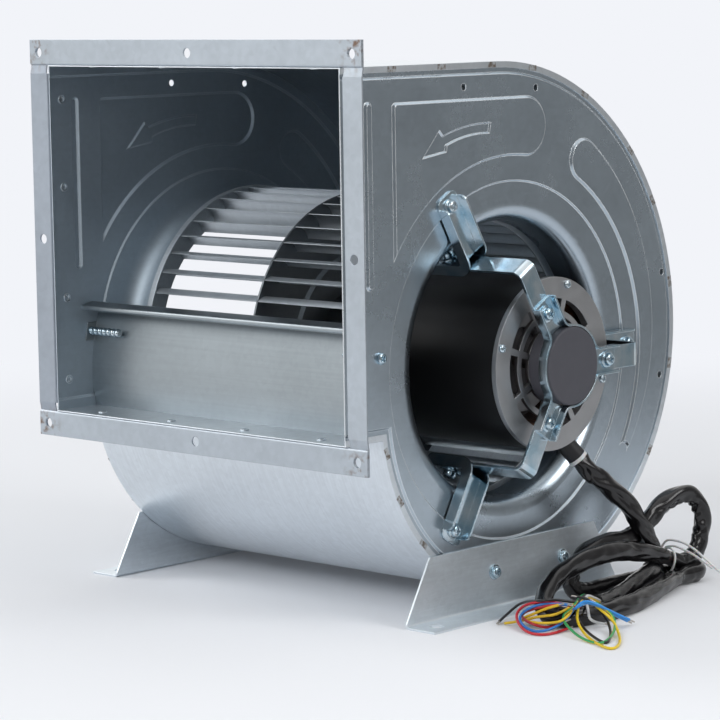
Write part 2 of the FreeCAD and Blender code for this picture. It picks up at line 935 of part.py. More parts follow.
def rotor_solids():
    start = motor_middle - core_length / 2
    core = ring(rotor_radius, shaft_radius + fit_clearance, start, start + core_length)
    outer = rotor_radius - rotor_ring_step
    end_ring = ring(outer, rotor_ring_inner_radius, start + core_length,
                    start + core_length + rotor_ring_length)
    return core, [end_ring, mirrored(end_ring, motor_middle)]


def motor_shaft():
    end = shield_face + shield_plate + 2
    return disc(shaft_radius, -hub_length / 2 - shaft_overhang, end)


# Motor mount


def hub_cap():
    end = hub_cap_start + hub_cap_length
    cap = disc(hub_cap_radius, hub_cap_start, end)
    rim = [e for e in cap.Edges if len(e.Vertexes) == 1 and abs(e.Vertexes[0].X - end) < TINY]
    cap = cap.makeFillet(hub_cap_rounding, rim)
    boss_end = shield_face + shield_boss_height
    return cap.cut(disc(shield_boss_radius, hub_cap_start, boss_end))


def lobe_face(half_width, hub, reach):
    face = Part.Face(Part.Wire(Part.makeCircle(hub, SHAFT, ACROSS)))
    lobe = polygon(
        side_view,
        [
            (0, axis_height - half_width),
            (reach, axis_height - half_width),
            (reach, axis_height + half_width),
            (0, axis_height + half_width),
        ],
    )
    return face.multiFuse([turned_about_shaft(lobe, angle) for name, angle in arm_angles])


def rounded_waist(shape, half_width, hub, radius):
    # Rounds the corners where the lobes meet the ring round the hub.
    reach = math.sqrt(hub**2 - half_width**2)
    corners = []
    for name, angle in arm_angles:
        for side in (-1, 1):
            spot = FreeCAD.Vector(0, reach, axis_height + side * half_width)
            corners.append(turned_about_shaft(Part.Vertex(spot), angle).Point)
    edges = []
    for edge in shape.Edges:
        ends = [v.Point for v in edge.Vertexes]
        if len(ends) == 2 and abs(ends[0].x - ends[1].x) > clamp_sheet / 2:
            for corner in corners:
                if math.dist((ends[0].y, ends[0].z), (corner.y, corner.z)) < TINY * 10:
                    edges.append(edge)
    return shape.makeFillet(radius, edges)


def motor_clamp_ring():
    # A tray with three lobes: a flat web and a wall that stands forward round the hub
    # and along the lobes, open at the lobes' ends.
    inside = arm_width / 2 + arm_side_clearance
    outside = inside + clamp_sheet
    hub_inside = hub_cap_radius + clamp_clearance
    hub_outside = hub_inside + clamp_sheet
    back = clamp_web_face - clamp_sheet
    front = clamp_web_face + clamp_wall - clamp_sheet
    block = slab(lobe_face(outside, hub_outside, lobe_reach).removeSplitter(), back, front)
    block = rounded_waist(block, outside, hub_outside, lobe_fillet)
    hollow = slab(lobe_face(inside, hub_inside, lobe_reach + clamp_sheet).removeSplitter(),
                  clamp_web_face, front)
    hollow = rounded_waist(hollow, inside, hub_inside, lobe_fillet + clamp_sheet)
    tray = block.cut(hollow).cut(disc(hub_inside, back, front))
    for name, angle in arm_angles:
        place = on_circle(shaft_point, clamp_bolt_circle, angle)
        tray = tray.cut(disc(bolt_shank / 2 + screw_clearance, back, front, place))
    return tray


def motor_arm():
    # Drawn pointing to the back: out from the hub and then along the motor.
    out = arm_outer_radius - arm_root - arm_bend - arm_thickness / 2
    along = arm_back + arm_thickness - arm_end - arm_bend - arm_thickness / 2
    middle = arm_back + arm_thickness / 2
    strip = bent_strip(
        axial_view, (middle, arm_root), 90, [out, (arm_bend, 90), along], arm_thickness
    )
    arm = centred(strip, UP, arm_width)
    bolt_hole = disc(bolt_shank / 2 + screw_clearance, arm_back, arm_back + arm_thickness,
                     on_circle(shaft_point, clamp_bolt_circle, 0))
    end_hole = radial_cylinder(bolt_shank / 2 + screw_clearance, arm_outer_radius - arm_width, arm_outer_radius)
    return arm.cut(bolt_hole).cut(end_hole)


def radial_cylinder(radius, near, far):
    # A round bar that points out from the shaft at the grommets' place.
    return Part.makeCylinder(radius, far - near, FreeCAD.Vector(grommet_place, near, axis_height), BACK)


def arm_bracket():
    # A channel bent square: its web lies on the side plate and then runs into the
    # inlet, with both flanges on the outer side of the bend. The web ends in a round
    # tongue beyond the flanges.
    half = bracket_inside / 2 + bracket_sheet
    foot_outer = bracket_foot_radius + bracket_sheet
    middle = panel_face + bracket_sheet / 2
    down = bracket_reach - bracket_foot_radius - bracket_sheet / 2 - bracket_bend
    along = middle - arm_end - bracket_bend
    steps = [down, (bracket_bend, -90), along]
    web = centred(bent_strip(axial_view, (middle, bracket_reach), -90, steps, bracket_sheet), UP, 2 * half)
    tongue_edges = [
        e for e in web.Edges
        if all(abs(v.Y - bracket_reach) < TINY for v in e.Vertexes)
        and abs(e.Vertexes[0].Z - e.Vertexes[-1].Z) < TINY
    ]
    web = web.makeFillet(bracket_tongue - TINY, tongue_edges)
    wall_reach = bracket_reach - bracket_tongue
    crest = panel_face + bracket_flange
    low = foot_outer - bracket_flange
    soft = bracket_end_rounding
    corner = (crest - bracket_corner, low + bracket_corner)
    inner = (panel_face - bracket_bend + bracket_sheet / 2, foot_outer + bracket_bend - bracket_sheet / 2)
    inner_radius = bracket_bend - bracket_sheet / 2
    outline = filled(
        [
            line(axial_view, (panel_face, wall_reach), (crest - soft, wall_reach)),
            arc(axial_view, (crest - soft, wall_reach - soft), soft, 90, 0),
            line(axial_view, (crest, wall_reach - soft), (crest, corner[1])),
            arc(axial_view, corner, bracket_corner, 0, -90),
            line(axial_view, (corner[0], low), (arm_end + soft, low)),
            arc(axial_view, (arm_end + soft, low + soft), soft, -90, -180),
            line(axial_view, (arm_end, low + soft), (arm_end, foot_outer)),
            line(axial_view, (arm_end, foot_outer), (inner[0], foot_outer)),
            arc(axial_view, inner, inner_radius, -90, 0),
            line(axial_view, (panel_face, inner[1]), (panel_face, wall_reach)),
        ]
    )
    flange = outline.copy()
    flange.translate(UP * (half - bracket_sheet))
    flange = flange.extrude(UP * bracket_sheet)
    other = flange.mirror(SHAFT, UP)
    bracket = fused([web, flange, other])
    screw_place = on_circle(shaft_point, bracket_screw_radius, 0)
    screw_hole = disc(screw_shank / 2 + screw_clearance, panel_face, panel_face + bracket_sheet, screw_place)
    bolt_hole = radial_cylinder(bolt_shank / 2 + screw_clearance, low, foot_outer)
    return bracket.cut(screw_hole).cut(bolt_hole)


def grommet():
    rubber = radial_cylinder(grommet_radius, arm_outer_radius, bracket_foot_radius)
    return rubber.cut(radial_cylinder(bolt_shank / 2 + screw_clearance, arm_outer_radius, bracket_foot_radius))


def clamp_bolt():
    length = clamp_sheet + arm_thickness + bolt_nut_height + 2
    bolt = pan_head_screw(clamp_web_face, bolt_head, bolt_head_height, bolt_shank, length,
                          washer_radius, washer_height)
    return moved_to(bolt, on_circle(shaft_point, clamp_bolt_circle, 0))


def clamp_nut():
    piece = nut(arm_back - bolt_nut_height, arm_back)
    return moved_to(piece, on_circle(shaft_point, clamp_bolt_circle, 0))


def radial(shape):
    # Turns a piece drawn along the shaft so that it points out at the grommets' place,
    # with its distance along the shaft now its radius.
    turned_out = shape.copy()
    turned_out.rotate(SHAFT, UP, 90)
    turned_out.translate(ACROSS * grommet_place)
    return turned_out


def grommet_bolt():
    seat = bracket_foot_radius + bracket_sheet
    length = seat - arm_outer_radius + arm_thickness + bolt_nut_height + 2
    return radial(pan_head_screw(seat, bolt_head, bolt_head_height, bolt_shank, length,
                                 grommet_washer_radius, washer_height))


def grommet_nut():
    under = arm_outer_radius - arm_thickness
    return radial(nut(under - bolt_nut_height, under))


def at_arms(shape):
    return Part.makeCompound([turned_about_shaft(shape, angle) for name, angle in arm_angles])


# Motor lead: a boot on the motor's shell, a sleeve that falls to a tied hank on the
# floor, and loose conductors beside it


def lead_exit(distance):
    y, z = on_circle(shaft_point, distance, lead_exit_angle)
    return FreeCAD.Vector(lead_exit_place, y, z)


boot_elbow = lead_exit(motor_radius + boot_stand_off + boot_radius)
sleeve_start = FreeCAD.Vector(235, 55, 137)
boot_way = (sleeve_start - boot_elbow).normalize()
lead_points = [
    sleeve_start,
    sleeve_start + boot_way * 18,
    FreeCAD.Vector(248, 84, 108),
    FreeCAD.Vector(252, 104, 93),
    FreeCAD.Vector(254, 121, 74),
    FreeCAD.Vector(255, 131, 57),
    FreeCAD.Vector(255, 136, 45),
]


def lead_boot():
    # A neck through the shell's hole, an elbow and a short barrel along the sleeve.
    inner = lead_exit(motor_radius - boot_depth)
    reach = (boot_elbow - inner).Length
    neck = Part.makeCylinder(lead_hole_radius - screw_clearance, reach, inner, boot_elbow - inner)
    elbow = Part.makeSphere(boot_radius, boot_elbow)
    length = (sleeve_start - boot_elbow).Length - collar_width
    barrel = Part.makeCylinder(boot_radius, length, boot_elbow, boot_way)
    return neck.fuse(elbow).fuse(barrel)


def lead_collar():
    start = sleeve_start - boot_way * collar_width
    return Part.makeCylinder(collar_radius, collar_width, start, boot_way)


def tube_path(points):
    # Straight runs joined by arcs, each as large as its two runs allow.
    edges = []
    last = points[0]
    for before, corner, after in zip(points, points[1:], points[2:]):
        into = corner - before
        out = after - corner
        turn = into.getAngle(out)
        shorter = min(into.Length, out.Length)
        radius = 0.45 * shorter / math.tan(turn / 2)
        into.normalize()
        out.normalize()
        start = corner - into * (0.45 * shorter)
        end = corner + out * (0.45 * shorter)
        inward = (out - into).normalize()
        middle = corner + inward * (radius / math.cos(turn / 2) - radius)
        edges.append(Part.LineSegment(last, start).toShape())
        edges.append(Part.Arc(start, middle, end).toShape())
        last = end
        print("lead bend radius", round(radius), "turn", round(math.degrees(turn)))
    edges.append(Part.LineSegment(last, points[-1]).toShape())
    return Part.Wire(edges)


def tube(points, radius):
    path = tube_path(points)
    direction = points[1] - points[0]
    section = Part.Wire(Part.makeCircle(radius, points[0], direction))
    solid = path.makePipeShell([section], True, False)
    print("lead volume share", round(solid.Volume / (path.Length * math.pi * radius**2), 3))
    print("lead length", round(path.Length))
    return solid


# The hank's outlines: the waist is where the tie holds it.
waist_back = 165.0
waist_low = 1.0
waist_high = 36.0
waist_near = 243.0
waist_far = 272.0
hank_near = 240.0
hank_far = 312.0
hank_front = -66.0


def top_view(x, y):
    return FreeCAD.Vector(x, y, 0)


def both_outlines(side, top, height):
    # What keeps to a side view outline and a top view outline at once.
    return slab(side, hank_near, hank_far).common(top.extrude(UP * height))


def lead_hank_front():
    height = 61.0
    side = filled(
        [
            line(side_view, (waist_back, waist_low), (waist_back, waist_high)),
            arc_through(side_view, (waist_back, waist_high), (45.0, height), (-58.0, 26.0)),
            arc_through(side_view, (-58.0, 26.0), (hank_front, 14.0), (-58.0, 0.0)),
            line(side_view, (-58.0, 0.0), (140.0, 0.0)),
            line(side_view, (140.0, 0.0), (waist_back, waist_low)),
        ]
    )
    top = polygon(
        top_view,
        [
            (waist_near, waist_back),
            (waist_far, waist_back),
            (hank_far, 70.0),
            (hank_far, hank_front),
            (hank_near, hank_front),
            (hank_near, 110.0),
        ],
    )
    return both_outlines(side, top, height + 5)


def lead_hank_back():
    # The loop that stands up behind the waist.
    side = filled(
        [
            line(side_view, (waist_back, waist_low), (waist_back, waist_high)),
            line(side_view, (waist_back, waist_high), (waist_back, 62.0)),
            arc_through(side_view, (waist_back, 62.0), (194.0, 94.0), (222.0, 66.0)),
            arc_through(side_view, (222.0, 66.0), (226.0, 46.0), (214.0, 30.0)),
            line(side_view, (214.0, 30.0), (waist_back, waist_low)),
        ]
    )
    return slab(side, waist_near, waist_far)


def lead_tie():
    # A nylon band round the hank just in front of the waist.
    front = waist_back - tie_width
    near = waist_near - 0.3
    far = waist_far + 2.0
    top = waist_high + 2.4
    inner = Part.makeBox(far - near, tie_width, top, FreeCAD.Vector(near, front, 0))
    outer = Part.makeBox(
        far - near + 2 * tie_thickness, tie_width, top + tie_thickness,
        FreeCAD.Vector(near - tie_thickness, front, 0)
    )
    return outer.cut(inner)


def lead_conductors():
    height = 16.0
    outline = polygon(
        top_view,
        [
            (250.0, -108.0),
            (375.0, -108.0),
            (402.0, -84.0),
            (402.0, -52.0),
            (362.0, -12.0),
            (hank_far, -12.0),
            (hank_far, hank_front),
            (250.0, hank_front),
        ],
    )
    return outline.extrude(UP * height)


def main():
    plate = side_plate()
    write("side_plate_motor_side", drilled(plate, bracket_screw_holes()))
    write("side_plate_far_side", mirrored(plate))
    write("scroll_wrap", scroll_wrap())
    write("cutoff_plate", cutoff_plate())
    write("outlet_flange_top", flange_level(True))
    write("outlet_flange_bottom", flange_level(False))
    upright = flange_upright()
    write("outlet_flange_motor_side", upright)
    write("outlet_flange_far_side", mirrored(upright))
    near_foot = foot()
    write("foot_motor_side", near_foot)
    write("foot_far_side", mirrored(near_foot))
    screws = [side_screw(panel_face + foot_sheet, place) for place in foot_screw_places]
    write("foot_screws", Part.makeCompound(screws + [mirrored(each) for each in screws]))
    screw = side_screw(panel_face, (cutoff_screw_front, cutoff_screw_height))
    write("cutoff_screws", Part.makeCompound([screw, mirrored(screw)]))

    bracket = arm_bracket()
    arm = motor_arm()
    for name, angle in arm_angles:
        write("arm_bracket_" + name, turned_about_shaft(bracket, angle))
        write("motor_arm_" + name, turned_about_shaft(arm, angle))
    bracket_screw = side_screw(panel_face + bracket_sheet, on_circle(shaft_point, bracket_screw_radius, 0))
    write("bracket_screws", at_arms(bracket_screw))
    write("grommets", at_arms(grommet()))
    write("grommet_bolts", at_arms(grommet_bolt()))
    write("grommet_nuts", at_arms(grommet_nut()))
    write("motor_clamp_ring", motor_clamp_ring())
    write("clamp_bolts", at_arms(clamp_bolt()))
    write("clamp_nuts", at_arms(clamp_nut()))

    write("motor_shell", motor_shell())
    shield = motor_end_shield()
    write("motor_end_shield_outer", shield)
    write("motor_end_shield_inner", mirrored(shield, motor_middle))
    write("end_shield_screws", Part.makeCompound(shield_screws()))
    write("hub_cap", hub_cap())
    write("stator_core", stator_core())
    write("stator_windings", Part.makeCompound(stator_windings()))
    outer_rings, inner_rings = bearings()
    write("bearing_outer_rings", Part.makeCompound(outer_rings))
    write("bearing_inner_rings", Part.makeCompound(inner_rings))
    core, end_rings = rotor_solids()
    write("rotor_core", core)
    write("rotor_end_rings", Part.makeCompound(end_rings))
    write("motor_shaft", motor_shaft())
    write("wheel_hub", wheel_hub())
    write("hub_set_screw", set_screw_solids())
    write("wheel_centre_disc", wheel_centre_disc())
    write("wheel_blades", wheel_blades())
    end_ring = wheel_end_ring()
    write("wheel_end_ring_motor_side", end_ring)
    write("wheel_end_ring_far_side", mirrored(end_ring))

    write("lead_boot", lead_boot())
    write("lead_collar", lead_collar())
    write("lead_sleeve", tube(lead_points, sleeve_radius))
    write("lead_hank_front", lead_hank_front())
    write("lead_hank_back", lead_hank_back())
    write("lead_tie", lead_tie())
    write("lead_conductors", lead_conductors())


os.makedirs("parts", exist_ok=True)
main()
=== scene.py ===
import bmesh
import bpy
import math
from mathutils import Matrix, Vector, noise


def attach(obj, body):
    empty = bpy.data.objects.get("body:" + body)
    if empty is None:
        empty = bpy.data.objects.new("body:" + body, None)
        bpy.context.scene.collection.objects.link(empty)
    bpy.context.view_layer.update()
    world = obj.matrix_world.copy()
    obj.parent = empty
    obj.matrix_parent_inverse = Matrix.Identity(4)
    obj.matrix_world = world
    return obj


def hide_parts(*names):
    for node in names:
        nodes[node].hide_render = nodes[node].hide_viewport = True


# Double-inlet centrifugal blower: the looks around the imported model.
# Metres. X is the fan axis with the motor side at +X, the outlet faces -Y, Z is up.

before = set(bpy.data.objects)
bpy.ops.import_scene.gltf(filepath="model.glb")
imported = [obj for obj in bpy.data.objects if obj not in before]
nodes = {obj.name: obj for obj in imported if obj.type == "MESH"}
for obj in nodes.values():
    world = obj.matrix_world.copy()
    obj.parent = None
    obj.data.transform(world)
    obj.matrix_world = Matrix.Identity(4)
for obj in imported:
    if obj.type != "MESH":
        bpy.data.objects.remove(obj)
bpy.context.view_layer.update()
mm = 0.001
shaftHeight = 236.0
panelFace = 197.5
floorGap = 0.2
nearly = 0.95


# Helpers for materials


def linear(hexColour):
    # sRGB hex to the linear colour that a shader takes
    channels = []
    for start in (1, 3, 5):
        value = int(hexColour[start:start + 2], 16) / 255
        value = value / 12.92 if value <= 0.04045 else ((value + 0.055) / 1.055) ** 2.4
        channels.append(value)
    return (*channels, 1.0)


def perSize(size):
    # A texture's scale for features of a size in millimetres
    return 1 / (size * mm)


def plug(tree, node, inputs):
    # Each input takes a fixed value or the output of another node
    for socket, value in inputs.items():
        if isinstance(value, bpy.types.NodeSocket):
            tree.links.new(value, node.inputs[socket])
        else:
            node.inputs[socket].default_value = value
    return node


def addNode(tree, kind, inputs=None, **settings):
    node = tree.nodes.new("ShaderNode" + kind)
    for name, value in settings.items():
        setattr(node, name, value)
    return plug(tree, node, inputs or {})


def startMaterial(name, coords="Object"):
    # Also gives a point's place on its piece, for the patterns
    material = bpy.data.materials.new(name)
    material.use_nodes = True
    tree = material.node_tree
    return material, tree, addNode(tree, "TexCoord").outputs[coords]


def dressed(material, inputs):
    # Sets what its shader takes
    tree = material.node_tree
    plug(tree, tree.nodes["Principled BSDF"], inputs)
    return material


def noiseOf(tree, place, size, detail, distortion=0.0):
    # Soft blotches whose size is in millimetres
    inputs = {"Vector": place, "Scale": perSize(size), "Detail": detail, "Distortion": distortion}
    return addNode(tree, "TexNoise", inputs).outputs["Fac"]


def bandsOf(tree, place, size, distortion=0.0):
    # Bands that follow each other along X, about twice the size in millimetres apart
    inputs = {"Vector": place, "Scale": perSize(size) / 6.28, "Distortion": distortion}
    return addNode(tree, "TexWave", inputs, bands_direction="X").outputs["Fac"]


def stretchedBy(tree, place, scale):
    # The same place on axes that are drawn out where the scale is small
    return addNode(tree, "Mapping", {"Vector": place, "Scale": scale}).outputs["Vector"]


def mixed(tree, amount, low, high, blend="MIX"):
    # Between two colours, each an sRGB hex, a linear colour or the output of another node
    low, high = [linear(colour) if isinstance(colour, str) else colour for colour in (low, high)]
    inputs = {0: amount, 6: low, 7: high}
    return addNode(tree, "Mix", inputs, data_type="RGBA", blend_type=blend).outputs[2]


def rampOf(tree, amount, stops):
    # From one colour to another, with the amounts at which each begins
    ramp = addNode(tree, "ValToRGB", {"Fac": amount})
    for element, (position, colour) in zip(ramp.color_ramp.elements, stops):
        element.position = position
        element.color = linear(colour)
    return ramp.outputs["Color"]


def ranged(tree, value, over=(0.0, 1.0), to=(0.0, 1.0), smooth=False):
    # The result goes through one span while the value goes over the other
    inputs = {"Value": value, "From Min": over[0], "From Max": over[1], "To Min": to[0], "To Max": to[1]}
    kind = "SMOOTHSTEP" if smooth else "LINEAR"
    return addNode(tree, "MapRange", inputs, interpolation_type=kind).outputs["Result"]


def maths(tree, operation, *terms):
    # Each term is a number or the output of another node
    return addNode(tree, "Math", dict(enumerate(terms)), operation=operation).outputs["Value"]


def relief(tree, height, strength, depth, normal=None):
    # Fine bumps whose depth is in millimetres
    inputs = {"Height": height, "Strength": strength, "Distance": depth * mm}
    if normal is not None:
        inputs["Normal"] = normal
    return addNode(tree, "Bump", inputs).outputs["Normal"]


def roundedEdge(tree, radius):
    # A sheared or bent metal edge is never sharp: it is shaded round over a radius in millimetres
    return addNode(tree, "Bevel", {"Radius": radius * mm}, samples=4).outputs["Normal"]


# Helpers for shapes


def scaled(values):
    # Millimetres to metres
    return [value * mm for value in values]


def linked(name, data):
    item = bpy.data.objects.new(name, data)
    bpy.context.scene.collection.objects.link(item)
    return item


def deselectAll():
    if bpy.context.mode != "OBJECT":
        bpy.ops.object.mode_set(mode="OBJECT")
    bpy.ops.object.select_all(action="DESELECT")


def makeActive(piece):
    deselectAll()
    piece.select_set(True)
    bpy.context.view_layer.objects.active = piece


def pick(piece, kind, wanted):
    # Goes into edit mode with the faces or edges selected that pass a test
    makeActive(piece)
    bpy.ops.object.mode_set(mode="EDIT")
    bpy.ops.mesh.select_mode(type=kind)
    bpy.ops.mesh.select_all(action="DESELECT")
    grid = bmesh.from_edit_mesh(piece.data)
    for item in grid.faces if kind == "FACE" else grid.edges:
        item.select_set(bool(wanted(item)))
    bmesh.update_edit_mesh(piece.data)


def facesUp(face):
    return face.normal.z > 0.9


def atTop(edge, height):
    return min(vertex.co.z for vertex in edge.verts) > height * nearly * mm


def backToObject():
    bpy.ops.object.mode_set(mode="OBJECT")


def newCylinder(radius, depth, place=(0, 0, 0), sides=32):
    # Stands on its place and points up; sizes in millimetres
    deselectAll()
    bpy.ops.mesh.primitive_cylinder_add(
        vertices=sides, radius=radius * mm, depth=depth * mm,
        location=scaled((place[0], place[1], place[2] + depth / 2)),
    )
    piece = bpy.context.object
    bpy.ops.object.transform_apply()
    return piece


def newBox(size, place=(0, 0, 0), turn=0.0):
    # Centred on its place and turned about Z; sizes in millimetres
    deselectAll()
    bpy.ops.mesh.primitive_cube_add(
        size=1, location=scaled(place), rotation=(0, 0, math.radians(turn)), scale=scaled(size),
    )
    bpy.ops.object.transform_apply()
    return bpy.context.object


def cutBy(piece, cutter):
    makeActive(piece)
    modifier = piece.modifiers.new("cut", "BOOLEAN")
    modifier.operation = "DIFFERENCE"
    modifier.solver = "EXACT"
    modifier.object = cutter
    bpy.ops.object.modifier_apply(modifier=modifier.name)
    bpy.data.objects.remove(cutter)


def joined(parts, name):
    deselectAll()
    for part in parts:
        part.select_set(True)
    bpy.context.view_layer.objects.active = parts[0]
    if len(parts) > 1:
        bpy.ops.object.join()
    piece = bpy.context.object
    piece.name = name
    piece.data.name = name
    return piece


def copiesAt(source, places, name):
    # One piece made of a copy of the source at each place
    parts = []
    for place in places:
        copy = source.copy()
        copy.data = source.data.copy()
        bpy.context.collection.objects.link(copy)
        copy.data.transform(place)
        parts.append(copy)
    bpy.data.objects.remove(source)
    return joined(parts, name)


def finishPiece(piece, material, body="housing", smooth=40):
    makeActive(piece)
    bpy.ops.object.shade_smooth_by_angle(angle=math.radians(smooth))
    piece.data.materials.clear()
    piece.data.materials.append(material)
    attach(piece, body)
    return piece


# Camera, fitted to the outlet flange, the scroll and the feet

camera = {
    "place": (2.0300, -2.1671, 0.5887),
    "azimuth": 43.132,
    "dip": 7.046,
    "roll": -0.892,
    "lens": 149.6,
    "sensor": 36.0,
}


def makeCamera():
    azimuth, dip, roll = [math.radians(camera[name]) for name in ("azimuth", "dip", "roll")]
    ahead = Vector((-math.sin(azimuth) * math.cos(dip), math.cos(azimuth) * math.cos(dip), -math.sin(dip)))
    level = ahead.cross(Vector((0, 0, 1))).normalized()
    rise = level.cross(ahead)
    right = level * math.cos(roll) + rise * math.sin(roll)
    up = rise * math.cos(roll) - level * math.sin(roll)
    data = bpy.data.cameras.new("camera")
    data.lens = camera["lens"]
    data.sensor_width = camera["sensor"]
    data.clip_start = 0.05
    data.clip_end = 50
    item = linked("camera", data)
    turn = Matrix((right, up, -ahead)).transposed().to_4x4()
    item.matrix_world = Matrix.Translation(camera["place"]) @ turn
    bpy.context.scene.camera = item


makeCamera()
print("camera made")


# Motor lead. The route's points repeat those of the solids, and go on round the hank.

lead = {
    "diameter": 18.0,
    "bodyShare": 0.95,
    "ringSpacing": 2.0,
    "sides": 40,
    "flatness": 0.15,
    "twistLength": 125.0,
    "twistedRun": 130.0,
    "loopBack": 150.0,
    "loopHeight": 40.0,
    "calm": 0.3,
    "lobeDepth": 0.10,
    "creases": ((0.4, 0.021), (2.6, -0.014), (4.5, 0.032)),
    "creaseDepth": 0.10,
    "creaseWidth": 0.22,
    "bendReach": 3,
    "bendGain": 22.0,
    "wrinkleLength": 11.0,
    "wrinkleDepth": (0.05, 0.09),
    "squeezed": 0.80,
    "tieBack": 163.0,
    "tieReach": 9.0,
    "tieTop": 42.0,
    "route": (
        (235, 55, 137), (242, 64, 123), (248, 84, 108), (252, 104, 93), (254, 121, 74),
        (255, 135, 54), (253, 148, 36), (250, 150, 18), (249, 134, 9), (250, 100, 10),
        (252, 66, 10), (254, 34, 10), (250, 22, 20), (248, 30, 38), (248, 54, 50),
        (248, 84, 53), (247, 112, 51), (246, 134, 56), (249, 152, 70), (253, 174, 84),
        (257, 196, 88), (259, 216, 76), (259, 221, 48), (259, 210, 24), (259, 188, 15),
        (259, 166, 27), (262, 132, 36), (266, 92, 46), (270, 46, 51), (272, -2, 46),
        (276, -42, 33), (290, -70, 14), (310, -58, 9), (320, -16, 9), (314, 40, 9),
        (296, 100, 9), (276, 150, 9), (272, 178, 9), (274, 196, 9), (262, 206, 9),
        (246, 200, 9), (242, 182, 10), (252, 160, 15), (266, 124, 20), (280, 72, 12),
        (292, 28, 9), (298, 4, 10),
    ),
}

# Each route starts with how far it lies aside of and above the first where they leave the sleeve
wires = {
    "diameter": 2.6,
    "ringSpacing": 2.5,
    "sides": 10,
    "bareLength": 6.0,
    "bareRadius": 0.3,
    "tipInset": 0.35,
    "tipRise": 0.3,
    "mouth": ((295, 10, 8), (299, -10, 17), (304, -28, 22)),
    "routes": {
        "red": (
            (0, 0), (317, -51, 19.2), (302, -68, 25.9), (280, -76, 23.2), (264, -74, 13), (272, -84, 6),
            (297, -101, 2), (315, -101, 1.6), (320, -83, 1.6), (318, -64, 2.5),
        ),
        "redShort": (
            (1, 0), (321, -51, 18.5), (310, -53, 21.4), (311, -78, 25.6), (282, -75, 17.2),
            (260, -65, 7), (291, -90, 8.4), (302, -81, 3.3), (309, -72, 4.4), (315, -66, 8.3),
        ),
        "blue": (
            (3, 0), (327, -69, 20), (330, -58, 29), (337, -49, 26), (345, -36, 17), (352, -17, 7),
        ),
        "blueShort": (
            (4, 0), (328, -67, 22), (330, -54, 27), (335, -44, 23), (345, -35, 15), (348, -15, 5),
        ),
        "blueLong": (
            (0, 2.2), (323, -68, 15.9), (314, -75, 5), (308, -96, 2), (288, -93, 4), (268, -77, 9),
            (285, -78, 21), (303, -69, 24.8), (320, -68, 25.1),
        ),
        "yellow": (
            (1, 2.2), (320, -54, 17.7), (328, -64, 9), (355, -84, 2.5), (388, -103, 1.5),
            (403, -105, 1.5), (392, -81, 1.6), (366, -51, 3), (348, -38, 12), (334, -44, 22),
        ),
        "yellowLoop": (
            (3, 2.2), (325, -78, 13.2), (309, -76, 7.8), (295, -85, 7.5), (268, -74, 6),
            (284, -75, 12.5), (302, -78, 21), (318, -78, 26.4),
        ),
        "yellowShort": (
            (4, 2.2), (315, -76, 16.2), (293, -77, 12.3), (269, -74, 4), (258, -85, 2.2),
        ),
        "greenYellow": (
            (0, 4.4), (317, -57, 19.5), (312, -70, 12.5), (347, -87, 2), (378, -98, 1.5), (379, -84, 2),
            (363, -53, 4), (351, -37, 10), (343, -37, 18), (336, -47, 26),
        ),
        "black": (
            (1, 4.4), (318, -56, 17.8), (334, -63, 4), (367, -84, 2), (386, -92, 1.5), (364, -59, 3),
            (343, -38, 9), (330, -34, 17), (322, -39, 27), (318, -52, 30),
        ),
        "blackShort": (
            (3, 4.4), (312, -44, 22), (302, -59, 26.2), (301, -83, 29.3), (247, -47, 15), (242, -58, 7),
            (248, -80, 2.2),
        ),
        "white": (
            (4, 4.4), (326, -45, 17), (332, -51, 8), (333, -31, 3),
        ),
    },
}


def routeLine(points):
    # The route as a smooth spline, read back as the points of its line
    curve = bpy.data.curves.new("route", "CURVE")
    curve.dimensions = "3D"
    curve.resolution_u = 12
    spline = curve.splines.new("NURBS")
    spline.points.add(len(points) - 1)
    for point, place in zip(spline.points, points):
        point.co = (*scaled(place), 1.0)
    spline.order_u = 3
    spline.use_endpoint_u = True
    item = linked("route", curve)
    mesh = bpy.data.meshes.new_from_object(item)
    line = [vertex.co.copy() for vertex in mesh.vertices]
    bpy.data.objects.remove(item)
    bpy.data.meshes.remove(mesh)
    return line


def evenly(line, spacing):
    # The same line with its points a fixed distance apart, and its length
    travelled = [0.0]
    for before, after in zip(line, line[1:]):
        travelled.append(travelled[-1] + (after - before).length)
    count = max(2, round(travelled[-1] / (spacing * mm)))
    even = []
    index = 0
    for step in range(count + 1):
        distance = travelled[-1] * step / count
        while index < len(line) - 2 and travelled[index + 1] < distance:
            index += 1
        span = travelled[index + 1] - travelled[index]
        share = (distance - travelled[index]) / span
        even.append(line[index].lerp(line[index + 1], min(1.0, max(0.0, share))))
    return even, travelled[-1]


def beside(line, index, reach=1):
    # The line's points before and after one of its own
    return line[max(0, index - reach)], line[min(len(line) - 1, index + reach)]


